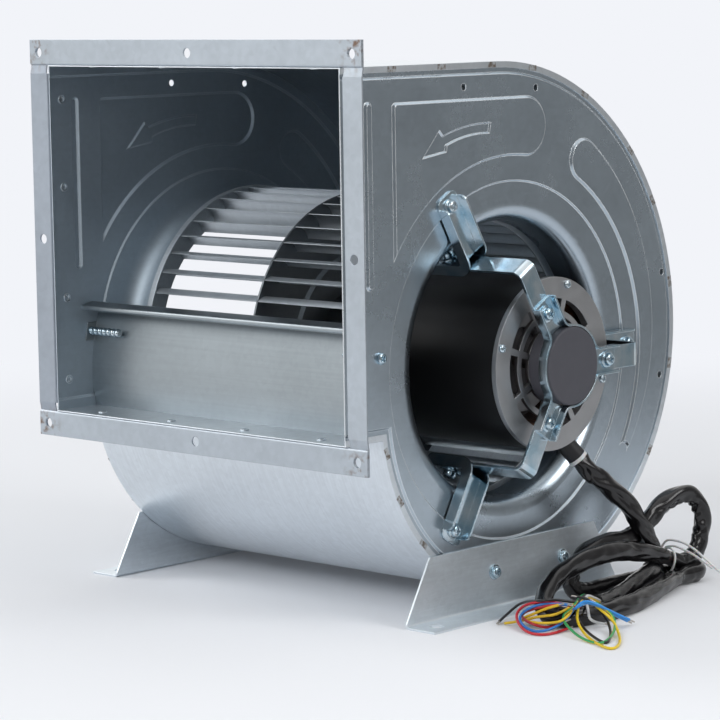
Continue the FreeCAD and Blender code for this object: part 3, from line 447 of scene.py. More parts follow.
def sweptTube(name, line, sides, radiusAt):
    # Rings along a line, with the distance along and around it as a UV map
    ahead = (line[1] - line[0]).normalized()
    side = ahead.cross(Vector((0, 0, 1)) if abs(ahead.z) < 0.9 else Vector((1, 0, 0))).normalized()
    points = []
    for index, centre in enumerate(line):
        before, after = beside(line, index)
        heading = (after - before).normalized()
        side = (side - heading * side.dot(heading)).normalized()
        other = heading.cross(side)
        for k in range(sides):
            turn = 2 * math.pi * k / sides
            outward = side * math.cos(turn) + other * math.sin(turn)
            point = centre + outward * radiusAt(index, turn, outward) * mm
            # What lies on the floor is pressed flat against it
            point.z = max(point.z, floorGap * mm)
            points.append(point)
    faces = []
    for index in range(len(line) - 1):
        for k in range(sides):
            low = index * sides
            high = low + sides
            following = (k + 1) % sides
            faces.append((low + k, low + following, high + following, high + k))
    faces.append(tuple(reversed(range(sides))))
    faces.append(tuple(range((len(line) - 1) * sides, len(line) * sides)))
    mesh = bpy.data.meshes.new(name)
    mesh.from_pydata(points, [], faces)
    spacing = (line[1] - line[0]).length
    uvMap = mesh.uv_layers.new(name="UVMap")
    around = 2 * math.pi * radiusAt(0, 0, side) * mm
    for face in mesh.polygons[:-2]:
        index, k = divmod(face.index, sides)
        corners = ((index, k), (index, k + 1), (index + 1, k + 1), (index + 1, k))
        for loop, (along, turned) in zip(face.loop_indices, corners):
            uvMap.data[loop].uv = (along * spacing, around * turned / sides)
    return linked(name, mesh)


def wander(along, reach, length, seed):
    # A slow smooth change along the sleeve
    return reach * noise.noise(Vector((along / length, *seed)))


def sleeveRadius(line):
    # Soft vinyl round a bundle of wires. It is flattened into a band that twists, with creases
    # along it, cross wrinkles inside each bend, and it is squeezed where the tie holds it.
    radius = lead["diameter"] / 2 * lead["bodyShare"]
    reach = lead["bendReach"]
    bends = []
    for index in range(len(line)):
        before, after = beside(line, index, reach)
        bend = (before + after) / 2 - line[index]
        bends.append(bend / (reach * lead["ringSpacing"] * mm) ** 2 * 2 * mm)

    def radiusAt(index, turn, outward):
        along = index * lead["ringSpacing"]
        back = line[index].y / mm
        height = line[index].z / mm
        before, after = beside(line, index)
        wide = (after - before).cross(Vector((1, 0, 0)))
        wide = wide.normalized() if wide.length > 1e-5 else Vector((0, 0, 1))
        lean = math.acos(max(-1.0, min(1.0, outward.dot(wide))))
        drift = wander(along, reach=1.3, length=110, seed=(0.3, 4.1))
        flat = lead["flatness"] * math.cos(2 * (lean + drift))
        # Twisted and crumpled on its way down and in the standing loop, smoother round the hank
        standing = back > lead["loopBack"] and height > lead["loopHeight"]
        lively = 1.0 if along < lead["twistedRun"] or standing else lead["calm"]
        spin = turn + 2 * math.pi * along / lead["twistLength"]
        lag = wander(along, reach=2.4, length=45, seed=(7.7, 1.2))
        lobes = lively * lead["lobeDepth"] * math.cos(3 * spin + lag)
        crease = 0.0
        for start, rate in lead["creases"]:
            angle = turn - start - rate * along - wander(along, reach=0.9, length=38, seed=(start, 2.0))
            angle = (angle + math.pi) % (2 * math.pi) - math.pi
            depth = 0.5 + wander(along, reach=0.9, length=30, seed=(3.3, start))
            groove = math.exp(-((angle / lead["creaseWidth"]) ** 2))
            crease -= lead["creaseDepth"] * (1 + lively) * max(0.0, depth) * groove
        inside = max(0.0, outward.dot(bends[index])) * lead["bendGain"]
        ripple = math.sin(2 * math.pi * along / lead["wrinkleLength"] + 2.0 * math.cos(turn))
        least, more = lead["wrinkleDepth"]
        wrinkle = (least + more * lively) * min(1.0, inside) * ripple
        seed = (math.cos(turn) * 1.3, math.sin(turn) * 1.3)
        soft = wander(along, reach=0.05, length=13, seed=seed)
        nearTie = math.exp(-(((back - lead["tieBack"]) / lead["tieReach"]) ** 2))
        squeeze = 1 - (1 - lead["squeezed"]) * (nearTie if height < lead["tieTop"] else 0.0)
        return radius * squeeze * (1 + flat + lobes + crease + wrinkle + soft)

    return radiusAt


def makeLead(material):
    line, length = evenly(routeLine(lead["route"]), lead["ringSpacing"])
    sleeve = sweptTube("lead_vinyl_sleeve", line, lead["sides"], sleeveRadius(line))
    finishPiece(sleeve, material, smooth=70)
    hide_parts("lead_sleeve", "lead_hank_front", "lead_hank_back")
    print("lead length", round(length, 3))


def bareEnd(name, line, material):
    # The stripped and tinned strands at a conductor's end, with a blunt tip
    radius = wires["diameter"] * wires["bareRadius"]
    piece = newCylinder(radius, wires["bareLength"], sides=12)
    pick(piece, "FACE", facesUp)
    bpy.ops.mesh.inset(thickness=radius * wires["tipInset"] * mm)
    bpy.ops.transform.translate(value=(0, 0, radius * wires["tipRise"] * mm))
    backToObject()
    heading = (line[-1] - line[-2]).normalized()
    turn = heading.to_track_quat("Z", "Y").to_matrix().to_4x4()
    piece.data.transform(Matrix.Translation(line[-1]) @ turn)
    piece.name = name
    return finishPiece(piece, material)


def makeConductors(colours, tinned):
    radius = wires["diameter"] / 2
    for name, (start, *rest) in wires["routes"].items():
        points = [(x + start[0], y, z + start[1]) for x, y, z in wires["mouth"]] + rest
        line, length = evenly(routeLine(points), wires["ringSpacing"])
        wire = sweptTube("conductor_" + name, line, wires["sides"], lambda index, turn, outward: radius)
        finishPiece(wire, colours[name], smooth=60)
        tip = bareEnd("conductor_end_" + name, line, tinned)
        # The first one stands for the solids' bundle
        if name == "red":
            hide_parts("lead_conductors")
        print("conductor", name, "length", round(length, 3))


# Materials

stains = {
    "middle": 0.350,
    "across": (0.188, 0.212),
    "upAndDown": (0.160, 0.186),
    "size": 7.0,
    "detail": 6.0,
    "spots": (0.50, 0.66),
    "colour": "#7d6a5e",
}


def cornerStains(tree, place, colour):
    # Burnt zinc and a breath of rust where the flange's corners are welded
    split = addNode(tree, "SeparateXYZ", {"Vector": place})
    across = maths(tree, "ABSOLUTE", split.outputs["X"])
    height = maths(tree, "SUBTRACT", split.outputs["Z"], stains["middle"])
    nearSide = ranged(tree, across, over=stains["across"])
    nearEnd = ranged(tree, maths(tree, "ABSOLUTE", height), over=stains["upAndDown"])
    corner = maths(tree, "MULTIPLY", nearSide, nearEnd)
    blot = noiseOf(tree, place, stains["size"], stains["detail"])
    amount = maths(tree, "MULTIPLY", corner, ranged(tree, blot, over=stains["spots"]))
    return mixed(tree, amount, colour, stains["colour"])


skin = {
    "cloudSize": 120.0,
    "noiseSpan": (0.3, 0.7),
    "spangleSize": 5.0,
    "spangleTones": (0.96, 1.03),
    "spangleSheen": 0.02,
    "rollingSize": 2.4,
    "rollingDepth": 0.02,
    "speckSize": 3.5,
    "speckDepth": 0.03,
    "creaseTurn": (0.998, 0.95),
    "paintedHighlightColour": "#f4f8fb",
    "paintedHighlightMetal": -0.6,
    "cloudSheen": (-0.05, 0.06),
}


def galvanisedSheet(name, colours, roughness, grain, slope=0.05, stained=False, edge=0.9,
                    streaks=0.03, paintedCreaseHighlight=0.0):
    # Galvanised steel sheet, hot dipped and skin passed: satin zinc with a faint spangle,
    # soft clouding and fine rolling lines along the strip
    material, tree, place = startMaterial(name)
    cloud = noiseOf(tree, place, skin["cloudSize"], detail=3.0)
    cells = {"Vector": place, "Scale": perSize(skin["spangleSize"])}
    spangle = addNode(tree, "TexVoronoi", cells, feature="F1").outputs["Color"]
    spangle = addNode(tree, "RGBToBW", {"Color": spangle}).outputs["Val"]
    # Real rolling lines are finer than a pixel, so these are drawn about 2 mm apart
    rolling = noiseOf(tree, stretchedBy(tree, place, grain), skin["rollingSize"], detail=1.0)
    speck = noiseOf(tree, place, skin["speckSize"], detail=1.0)
    tone = ranged(tree, spangle, to=skin["spangleTones"])
    streak = ranged(tree, rolling, over=skin["noiseSpan"], to=(1 - streaks, 1 + streaks))
    colour = mixed(tree, cloud, *colours)
    colour = mixed(tree, 1.0, colour, tone, blend="MULTIPLY")
    colour = mixed(tree, 1.0, colour, streak, blend="MULTIPLY")
    if stained:
        colour = cornerStains(tree, place, colour)
    rounded = roundedEdge(tree, edge)
    metal = 1.0
    if paintedCreaseHighlight:
        # Painted highlight: where the rounded edge bends the normal, the colour is whitened and made less
        # metallic, so pressed creases and edges show a bright line from every side
        flat = addNode(tree, "NewGeometry").outputs["Normal"]
        turned = addNode(tree, "VectorMath", {0: rounded, 1: flat}, operation="DOT_PRODUCT")
        paintedHighlightAmount = ranged(tree, turned.outputs["Value"], over=skin["creaseTurn"], to=(0.0, paintedCreaseHighlight))
        colour = mixed(tree, paintedHighlightAmount, colour, skin["paintedHighlightColour"])
        metal = maths(tree, "MULTIPLY_ADD", paintedHighlightAmount, skin["paintedHighlightMetal"], 1.0)
    sheens = [roughness + change for change in skin["cloudSheen"]]
    cloudSheen = ranged(tree, cloud, over=skin["noiseSpan"], to=sheens)
    sheen = skin["spangleSheen"]
    spangleSheen = maths(tree, "MULTIPLY_ADD", spangle, sheen, -sheen / 2)
    lines = relief(tree, rolling, slope, skin["rollingDepth"], rounded)
    return dressed(material, {
        "Metallic": metal,
        "Base Color": colour,
        "Roughness": maths(tree, "ADD", cloudSheen, spangleSheen),
        "Normal": relief(tree, speck, slope, skin["speckDepth"], lines),
    })


def zincPlated():
    # Bright zinc plated steel with a blue passivated film: mirror-like with fine ripples
    # from the pressed blank, and a colour that drifts from blue to pale grey
    material, tree, place = startMaterial("zincPlatedPressedSteel")
    drift = noiseOf(tree, place, size=22, detail=2.0)
    fine = noiseOf(tree, place, size=1.5, detail=5.0)
    ripple = noiseOf(tree, place, size=7, detail=1.0)
    return dressed(material, {
        "Metallic": 1.0,
        "Base Color": rampOf(tree, drift, ((0.35, "#a9c3d1"), (0.66, "#d0dae0"))),
        "Roughness": ranged(tree, fine, to=(0.10, 0.24)),
        "Normal": relief(tree, ripple, strength=0.25, depth=0.12, normal=roundedEdge(tree, 1.1)),
    })


def blackPaint():
    # Black stoving paint sprayed on rolled steel: a soft sheen with fine orange peel
    material, tree, place = startMaterial("blackStovingPaint")
    dust = noiseOf(tree, place, size=30, detail=6.0)
    peel = noiseOf(tree, place, size=1.6, detail=1.0)
    return dressed(material, {
        "Base Color": linear("#0b0b0d"), "Specular IOR Level": 0.35,
        "Roughness": ranged(tree, dust, to=(0.36, 0.52)),
        "Normal": relief(tree, peel, strength=0.12, depth=0.05),
    })


def castAluminium():
    # Die cast aluminium, tumbled: even grey metal with a slightly pebbled skin
    material, tree, place = startMaterial("dieCastAluminium")
    patch = noiseOf(tree, place, size=16, detail=5.0)
    pebble = noiseOf(tree, place, size=0.9, detail=2.0)
    return dressed(material, {
        "Metallic": 1.0,
        "Base Color": mixed(tree, patch, "#a2a3a5", "#b5b6b8"),
        "Roughness": ranged(tree, patch, to=(0.30, 0.50)),
        "Normal": relief(tree, pebble, strength=0.3, depth=0.06, normal=roundedEdge(tree, 0.9)),
    })


def mouldedRubber(name, colours, roughness):
    # Moulded rubber: dull, evenly grained, a little greyer in patches
    material, tree, place = startMaterial(name)
    bloom = noiseOf(tree, place, size=14, detail=4.0)
    grain = noiseOf(tree, place, size=0.7, detail=2.0)
    return dressed(material, {
        "Specular IOR Level": 0.4,
        "Base Color": mixed(tree, bloom, *colours),
        "Roughness": ranged(tree, bloom, to=(roughness - 0.08, roughness + 0.08)),
        "Normal": relief(tree, grain, strength=0.25, depth=0.05),
    })


def turnedSteel():
    # Bright turned steel: fine tool rings across the axis and a thin film of oil
    material, tree, place = startMaterial("brightTurnedSteel")
    stain = noiseOf(tree, place, size=9, detail=4.0)
    rings = bandsOf(tree, place, size=0.8, distortion=0.4)
    return dressed(material, {
        "Metallic": 1.0,
        "Base Color": mixed(tree, stain, "#8e8c89", "#b4b3b0"),
        "Roughness": ranged(tree, stain, to=(0.22, 0.40)),
        "Normal": relief(tree, rings, strength=0.12, depth=0.03),
    })


def laminatedSteel():
    # Stacked electrical sheet: thin dark edges side by side along the shaft
    material, tree, place = startMaterial("lacqueredLaminations")
    sheets = bandsOf(tree, place, size=1.0)
    return dressed(material, {
        "Metallic": 0.7, "Roughness": 0.5,
        "Base Color": mixed(tree, sheets, "#3b3a3c", "#6b696a"),
        "Normal": relief(tree, sheets, strength=0.4, depth=0.08),
    })


def windingWire():
    # Enamelled copper wire, wound and varnished: wavy strands side by side, with painted shade in the gaps
    # between them
    material, tree, place = startMaterial("varnishedCopperWinding")
    strands = bandsOf(tree, place, size=1.2, distortion=3.0)
    return dressed(material, {
        "Metallic": 0.6, "Coat Weight": 0.4,
        "Base Color": mixed(tree, strands, "#2e1c14", "#6e4630"),
        "Roughness": ranged(tree, strands, to=(0.30, 0.45)),
        "Normal": relief(tree, strands, strength=0.6, depth=0.3),
    })


def softVinyl():
    # Extruded soft vinyl sleeving: glossy black with fine crumples that catch the light
    material, tree, place = startMaterial("extrudedVinylSleeving", "UV")
    stretched = stretchedBy(tree, place, (0.55, 1.0, 1.0))
    crumple = noiseOf(tree, stretched, size=13, detail=1.5, distortion=0.5)
    return dressed(material, {
        "Specular IOR Level": 0.55,
        "Base Color": mixed(tree, crumple, "#09080a", "#121113"),
        "Roughness": ranged(tree, crumple, to=(0.17, 0.30)),
        "Normal": relief(tree, crumple, strength=0.40, depth=0.8),
    })


def wireInsulation(name, colour, stripe=None):
    # Extruded vinyl insulation: even colour, waxy gloss, a stripe along the earth wire
    material, tree, place = startMaterial(name)
    mottle = noiseOf(tree, place, size=3, detail=2.0)
    darker = 0.82
    dark = (*[channel * darker for channel in linear(colour)[:3]], 1.0)
    shown = mixed(tree, mottle, dark, colour)
    if stripe:
        # The distance round the wire is in the UV map's second value
        wound = addNode(tree, "TexCoord").outputs["UV"]
        around = addNode(tree, "SeparateXYZ", {"Vector": wound}).outputs["Y"]
        plainShare = 0.62
        side = maths(tree, "GREATER_THAN", around, wires["diameter"] * mm * math.pi * plainShare)
        shown = mixed(tree, side, shown, stripe)
    sheen = ranged(tree, mottle, to=(0.28, 0.40))
    return dressed(material, {"Specular IOR Level": 0.5, "Base Color": shown, "Roughness": sheen})


def tinnedCopper():
    # Stranded copper dipped in tin: thin bright threads along the wire
    material, tree, place = startMaterial("tinnedCopperStrands")
    threads = noiseOf(tree, place, size=0.5, detail=2.0)
    return dressed(material, {
        "Metallic": 1.0,
        "Base Color": mixed(tree, threads, "#a39a90", "#d8d4cf"),
        "Roughness": ranged(tree, threads, to=(0.25, 0.4)),
        "Normal": relief(tree, threads, strength=0.5, depth=0.1),
    })


def naturalNylon():
    # Moulded nylon, natural: milky white and slightly see-through at thin edges
    material, tree, place = startMaterial("naturalNylon")
    milk = noiseOf(tree, place, size=6, detail=3.0)
    return dressed(material, {
        "Subsurface Weight": 0.2, "Subsurface Scale": 0.002,
        "Base Color": mixed(tree, milk, "#c9cbcc", "#e4e5e5"),
        "Roughness": ranged(tree, milk, to=(0.35, 0.5)),
    })


def spotWeldBurn():
    # Zinc burnt off by the welding tip: dull brown grey blotches beside bare bright metal
    material, tree, place = startMaterial("burntZincSpotWeld")
    soot = noiseOf(tree, place, size=3, detail=4.0)
    return dressed(material, {
        "Metallic": 1.0,
        "Base Color": rampOf(tree, soot, ((0.38, "#82786f"), (0.62, "#cfd3d6"))),
        "Roughness": ranged(tree, soot, to=(0.55, 0.30)),
        "Normal": relief(tree, soot, strength=0.4, depth=0.15),
    })


# After the name come two colours, the roughness, the grain and how steep the fine relief is.
# The grain shrinks the pattern's scale along the rolling lines, so they run that way.
pressedLook = {"grain": (1, 0.03, 1), "slope": 0.01, "edge": 0.95, "streaks": 0.012}
angleLook = {"grain": (0.2, 1, 0.2), "slope": 0.12, "stained": True}
# The side sheets carry that painted highlight along their pressed creases, at full strength on the near
# side and at half strength on the far side
sideSheet = galvanisedSheet("galvanisedSheetSides", ("#b0bcc6", "#b8c4cd"), 0.27, paintedCreaseHighlight=1.0, **pressedLook)
farSheet = galvanisedSheet("galvanisedSheetFarSide", ("#b0bcc6", "#b8c4cd"), 0.55, paintedCreaseHighlight=0.5, **pressedLook)
# The scroll wrap is a lighter copy of the same galvanised sheet: painted light for the bright floor its
# lower front reflects
litWrapSheet = galvanisedSheet("galvanisedSheetWrapPaintedLight", ("#dbe2e8", "#e5ebf0"), 0.34, (1, 0.05, 0.05), 0.03)
cutoffSheet = galvanisedSheet("galvanisedSheetCutoff", ("#959da2", "#a4acb1"), 0.34, (0.02, 1, 1), 0.10)
# The feet are a lighter copy of the same galvanised sheet: painted light, making up for the shade low down
# beside the floor
litFootSheet = galvanisedSheet("galvanisedFeetPaintedLight", ("#d6dee4", "#e1e8ed"), 0.46, (0.1, 0.1, 1))
flangeSheet = galvanisedSheet("galvanisedAngle", ("#a9b1b9", "#b8c0c8"), 0.42, **angleLook)
# The far side's angle is a darker copy of the same galvanised angle: painted shade on the left upright of
# the flange
shadedFarFlangeSheet = galvanisedSheet("galvanisedAngleFarSidePaintedShade", ("#99a1ab", "#a7afb9"), 0.42, **angleLook)
wheelSheet = galvanisedSheet("galvanisedWheelSheet", ("#c7ced4", "#d6dce1"), 0.50, (0.05, 1, 1), edge=0.7)
# The wheel's centre disc is a darker copy of the wheel's galvanised sheet: painted shade deep inside the
# wheel
shadedDiscSheet = galvanisedSheet("galvanisedWheelDiscPaintedShade", ("#73797e", "#80868b"), 0.50, (1, 0.05, 1))
zinc = zincPlated()
paint = blackPaint()
cast = castAluminium()
capRubber = mouldedRubber("mouldedRubberCap", ("#3d3d44", "#4b4b52"), 0.55)
rubber = mouldedRubber("mouldedRubber", ("#19191b", "#242427"), 0.5)
steel = turnedSteel()
laminations = laminatedSteel()
nylon = naturalNylon()

wireColours = {
    "red": ("redVinyl", "#c8202f"),
    "redShort": ("darkRedVinyl", "#b01c2a"),
    "blue": ("blueVinyl", "#2f8fe0"),
    "blueShort": ("lightBlueVinyl", "#47a0ea"),
    "blueLong": ("midBlueVinyl", "#2f7ed0"),
    "yellowLoop": ("deepYellowVinyl", "#e9c225"),
    "yellow": ("yellowVinyl", "#eccb1f"),
    "yellowShort": ("warmYellowVinyl", "#e6c02a"),
    "greenYellow": ("earthVinyl", "#e3d13a", "#2f9a5a"),
    "black": ("blackVinyl", "#1b1a1c"),
    "blackShort": ("softBlackVinyl", "#222124"),
    "white": ("whiteVinyl", "#d6d8d9"),
}

# By the start of a node's name. The last one that fits is taken, and zinc where none does.
nodeMaterials = {
    "side_plate_": sideSheet,
    "side_plate_far_side": farSheet,
    "scroll_wrap": litWrapSheet,
    "cutoff_plate": cutoffSheet,
    "outlet_flange_": flangeSheet,
    "outlet_flange_far_side": shadedFarFlangeSheet,
    "foot_motor_side": litFootSheet,
    "foot_far_side": litFootSheet,
    "wheel_blades": wheelSheet,
    "wheel_centre_disc": shadedDiscSheet,
    "wheel_end_ring_": wheelSheet,
    "wheel_hub": steel,
    "motor_shell": paint,
    "motor_end_shield_": cast,
    "motor_end_shield_inner": paint,
    "hub_cap": capRubber,
    "grommets": rubber,
    "lead_boot": rubber,
    "lead_collar": nylon,
    "lead_tie": nylon,
    "stator_core": laminations,
    "stator_windings": windingWire(),
    "rotor_core": laminations,
    "rotor_end_rings": cast,
    "bearing_": steel,
    "motor_shaft": steel,
}


def dressNodes():
    for name, item in nodes.items():
        chosen = zinc
        for start, material in nodeMaterials.items():
            if name.startswith(start):
                chosen = material
        item.data.materials.clear()
        item.data.materials.append(chosen)


dressNodes()
print("materials made")

makeLead(softVinyl())
makeConductors({name: wireInsulation(*look) for name, look in wireColours.items()}, tinnedCopper())
print("lead made")


# Screws. Each kind is modelled once, with its seat at height 0 and its head up.

screwSizes = ("head", "height", "washer", "washerHeight", "shank", "length")
screws = {
    "foot_screws": (11.0, 4.2, 15.0, 1.2, 5.0, 9.0),
    "bracket_screws": (11.5, 4.4, 15.0, 1.2, 5.0, 12.0),
    "cutoff_screws": (11.0, 4.2, 0.0, 0.0, 5.6, 45.0),
    "grommet_bolts": (13.0, 5.2, 22.0, 1.5, 6.0, 15.0),
    "clamp_bolts": (12.0, 4.8, 17.0, 1.5, 6.0, 12.0),
    "end_shield_screws": (8.0, 3.0, 0.0, 0.0, 4.0, 8.0),
}

# Shares of the head's height and width and of the washer's height, and the bevel's profile
panShape = {
    "crown": 0.62,
    "crownProfile": 0.55,
    "recessWidth": 0.62,
    "recessThickness": 0.15,
    "recessHeight": 1.1,
    "washerRound": 0.35,
}

seats = {
    "sideSeat": 199.5,
    "feet": ((-30.0, 35.5), (72.5, 35.5)),
    "armAngles": (120.0, 240.0, 0.0),
    "bracketRadius": 176.0,
    "cutoff": (-184.0, 256.0),
    "grommetPlace": 171.0,
    "grommetSeat": 118.5,
    "clampCircle": 59.5,
    "clampSeat": 266.0,
    "shieldCircle": 77.0,
    "shieldPhase": 73.5,
    "shieldSeats": ((248.7, 1), (69.8, -1)),
}

# Width, rounding and start are shares of the pitch
thread = {"pitch": 6.4, "turns": 7, "rise": 1.4, "width": 0.62, "round": 0.22, "lean": 12.0, "start": 0.1}


def panHead(radius, height, seat):
    # A disc whose upper edge is rounded into a dome, with a cross recess cut into the crown
    head = newCylinder(radius, height, (0, 0, seat))
    pick(head, "EDGE", lambda edge: atTop(edge, seat + height))
    bpy.ops.mesh.bevel(offset=height * panShape["crown"] * mm, segments=5, profile=panShape["crownProfile"])
    backToObject()
    long = radius * 2 * panShape["recessWidth"]
    thick = radius * 2 * panShape["recessThickness"]
    for turn in (0, 90):
        cutBy(head, newBox((long, thick, height * panShape["recessHeight"]), (0, 0, seat + height), turn))
    return head


def washerUnder(radius, height):
    washer = newCylinder(radius, height)
    pick(washer, "EDGE", lambda edge: atTop(edge, height))
    bpy.ops.mesh.bevel(offset=height * panShape["washerRound"] * mm, segments=2)
    backToObject()
    return washer


def screwOf(size):
    seat = size["washerHeight"]
    parts = [panHead(size["head"] / 2, size["height"], seat)]
    parts.append(newCylinder(size["shank"] / 2, size["length"] + seat, (0, 0, -size["length"]), sides=20))
    if size["washer"]:
        parts.append(washerUnder(size["washer"] / 2, seat))
    return joined(parts, "screw")


def threadOn(size):
    # Rounded ridges on the long shank, one for each turn that shows inside the duct
    pitch = thread["pitch"]
    ridge = newCylinder(size["shank"] / 2 + thread["rise"], pitch * thread["width"], sides=24)
    pick(ridge, "EDGE", lambda edge: abs(edge.verts[0].co.z - edge.verts[1].co.z) < 0.1 * mm)
    bpy.ops.mesh.bevel(offset=pitch * thread["round"] * mm, segments=3)
    backToObject()
    lean = Matrix.Rotation(math.radians(thread["lean"]), 4, "X")
    places = []
    for turn in range(thread["turns"]):
        drop = -size["length"] + pitch * (turn + thread["start"])
        places.append(Matrix.Translation((0, 0, drop * mm)) @ lean)
    return copiesAt(ridge, places, "thread")


def axisPlace(place, direction, turn=0.0):
    # Where a screw's seat lies, which way its head points, and how far it is screwed round
    quarter = Vector(direction).to_track_quat("Z", "Y").to_matrix().to_4x4()
    spin = Matrix.Rotation(math.radians(turn), 4, "Z")
    return Matrix.Translation(scaled(place)) @ quarter @ spin


def aroundShaft(radius, angle):
    turn = math.radians(angle)
    return radius * math.cos(turn), shaftHeight + radius * math.sin(turn)


def screwMatrices():
    # The last value put down for each is how far it is screwed round
    places = {name: [] for name in screws}

    def put(name, place, direction, turn):
        places[name].append(axisPlace(place, direction, turn))

    side = seats["sideSeat"]
    for sign in (-1, 1):
        for foot in seats["feet"]:
            put("foot_screws", (sign * side, *foot), (sign, 0, 0), 20 + 3 * foot[0])
        put("cutoff_screws", (sign * panelFace, *seats["cutoff"]), (sign, 0, 0), 35)
    for angle in seats["armAngles"]:
        bracket = aroundShaft(seats["bracketRadius"], angle)
        put("bracket_screws", (side, *bracket), (1, 0, 0), angle / 3)
        back, height = aroundShaft(seats["grommetSeat"], angle)
        outward = (0, back, height - shaftHeight)
        put("grommet_bolts", (seats["grommetPlace"], back, height), outward, angle / 4)
        clamp = aroundShaft(seats["clampCircle"], angle)
        put("clamp_bolts", (seats["clampSeat"], *clamp), (1, 0, 0), 15 + angle / 5)
    for place, sign in seats["shieldSeats"]:
        for quarter in range(4):
            shield = aroundShaft(seats["shieldCircle"], seats["shieldPhase"] + 90 * quarter)
            put("end_shield_screws", (place, *shield), (sign, 0, 0), 25 * quarter)
    return places


def makeScrews(material):
    for name, places in screwMatrices().items():
        size = dict(zip(screwSizes, screws[name]))
        parts = [screwOf(size)]
        if name == "cutoff_screws":
            parts.append(threadOn(size))
        piece = copiesAt(joined(parts, "screw"), places, name.replace("_", "_detailed_", 1))
        finishPiece(piece, material, smooth=35)
        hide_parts(name)


# Joining marks of the sheet: clinched buttons behind the flange and spot welds on the lips

joins = {
    "buttonRadius": 4.4,
    "buttonHeight": 1.3,
    "buttonRim": 0.42,
    "buttonSink": 1.0,
    "buttonRound": 0.45,
    "buttonDepth": -213.5,
    "sideWall": 196.5,
    "sideHeights": (486.6, 400.7, 291.1, 209.7),
    "topWall": 519.5,
    "bottomWall": 180.5,
    "levelPlaces": (-148.0, -50.0, 50.0, 150.0),
    "weldSize": (5.2, 11.0, 0.35),
    "weldRim": 0.7,
    "weldCuts": 4,
    "dimpleRadius": 2.4,
    "dimpleDepth": 0.25,
    "weldWall": 196.5,
    "scrollCentre": (16.5, 250.5),
    "levelAbove": 510.5,
    "welds": (
        (-162.0, 517.5), (-94.0, 517.5), (-23.0, 517.5), (36.6, 512.8), (115.5, 484.3),
        (186.9, 427.0), (222.4, 375.5), (250.4, 291.3), (249.7, 208.4), (216.2, 122.8),
        (-175.7, 167.3), (-158.9, 120.8), (-127.4, 76.0),
    ),
}


def makeButtons(material):
    # A raised ring with a sunk middle, as a clinching punch leaves it
    radius = joins["buttonRadius"]
    height = joins["buttonHeight"]
    button = newCylinder(radius, height, sides=28)
    pick(button, "FACE", facesUp)
    bpy.ops.mesh.inset(thickness=radius * joins["buttonRim"] * mm)
    bpy.ops.transform.translate(value=(0, 0, -joins["buttonSink"] * mm))
    backToObject()
    pick(button, "EDGE", lambda edge: atTop(edge, height))
    bpy.ops.mesh.bevel(offset=joins["buttonRound"] * mm, segments=3)
    backToObject()
    depth = joins["buttonDepth"]
    places = []
    for sign in (-1, 1):
        for level in joins["sideHeights"]:
            places.append(axisPlace((sign * joins["sideWall"], depth, level), (-sign, 0, 0)))
    for across in joins["levelPlaces"]:
        places.append(axisPlace((across, depth, joins["topWall"]), (0, 0, -1)))
        places.append(axisPlace((across, depth, joins["bottomWall"]), (0, 0, 1)))
    piece = copiesAt(button, places, "flange_clinch_buttons")
    finishPiece(piece, material, smooth=35)


def makeWelds(material):
    # A small flat patch with a pressed dimple where the lip is welded to the side plate
    thick = joins["weldSize"][2]
    patch = newBox(joins["weldSize"], (0, 0, thick / 2))
    pick(patch, "FACE", facesUp)
    bpy.ops.mesh.inset(thickness=joins["weldRim"] * mm)
    bpy.ops.mesh.subdivide(number_cuts=joins["weldCuts"])
    backToObject()
    for vertex in patch.data.vertices:
        away = Vector((vertex.co.x, vertex.co.y)).length / mm / joins["dimpleRadius"]
        if vertex.co.z > thick * nearly * mm and away < 1:
            vertex.co.z -= joins["dimpleDepth"] * mm * (1 - away)
    centre = joins["scrollCentre"]
    places = []
    for sign in (-1, 1):
        flat = Matrix(((0, 0, sign), (0, 1, 0), (-sign, 0, 0))).to_4x4()
        for back, height in joins["welds"]:
            level = back < centre[0] and height > joins["levelAbove"]
            lean = 0.0 if level else math.atan2(height - centre[1], back - centre[0]) - math.pi / 2
            turn = Matrix.Rotation(lean, 4, "X")
            place = scaled((sign * joins["weldWall"], back, height))
            places.append(Matrix.Translation(place) @ turn @ flat)
    piece = copiesAt(patch, places, "lip_spot_welds")
    finishPiece(piece, material, smooth=30)


# Tie of white coated wire: a loop round two strands of the hank, with both tails free

tie = {
    "diameter": 2.3,
    "ringSpacing": 2.0,
    "sides": 12,
    "centre": (255.5, 163.0, 21.5),
    "halfLength": 17.8,
    "halfWidth": 10.2,
    "lean": 59.3,
    "start": 0.6,
    "skew": 1.2,
    "loopPoints": 28,
    "upperTail": (
        (250.0, 163.0, 33.0), (253.0, 165.5, 42.0), (262.0, 163.0, 46.0), (283.0, 158.5, 46.0),
        (300.0, 154.0, 41.5), (316.0, 150.0, 34.0), (331.0, 147.0, 27.0), (340.0, 145.0, 23.0),
    ),
    "lowerTail": (
        (257.0, 163.0, 37.5), (266.0, 162.0, 41.0), (280.0, 160.0, 39.0), (296.0, 156.0, 36.0),
        (312.0, 152.0, 31.0), (324.0, 150.0, 26.5),
    ),
}


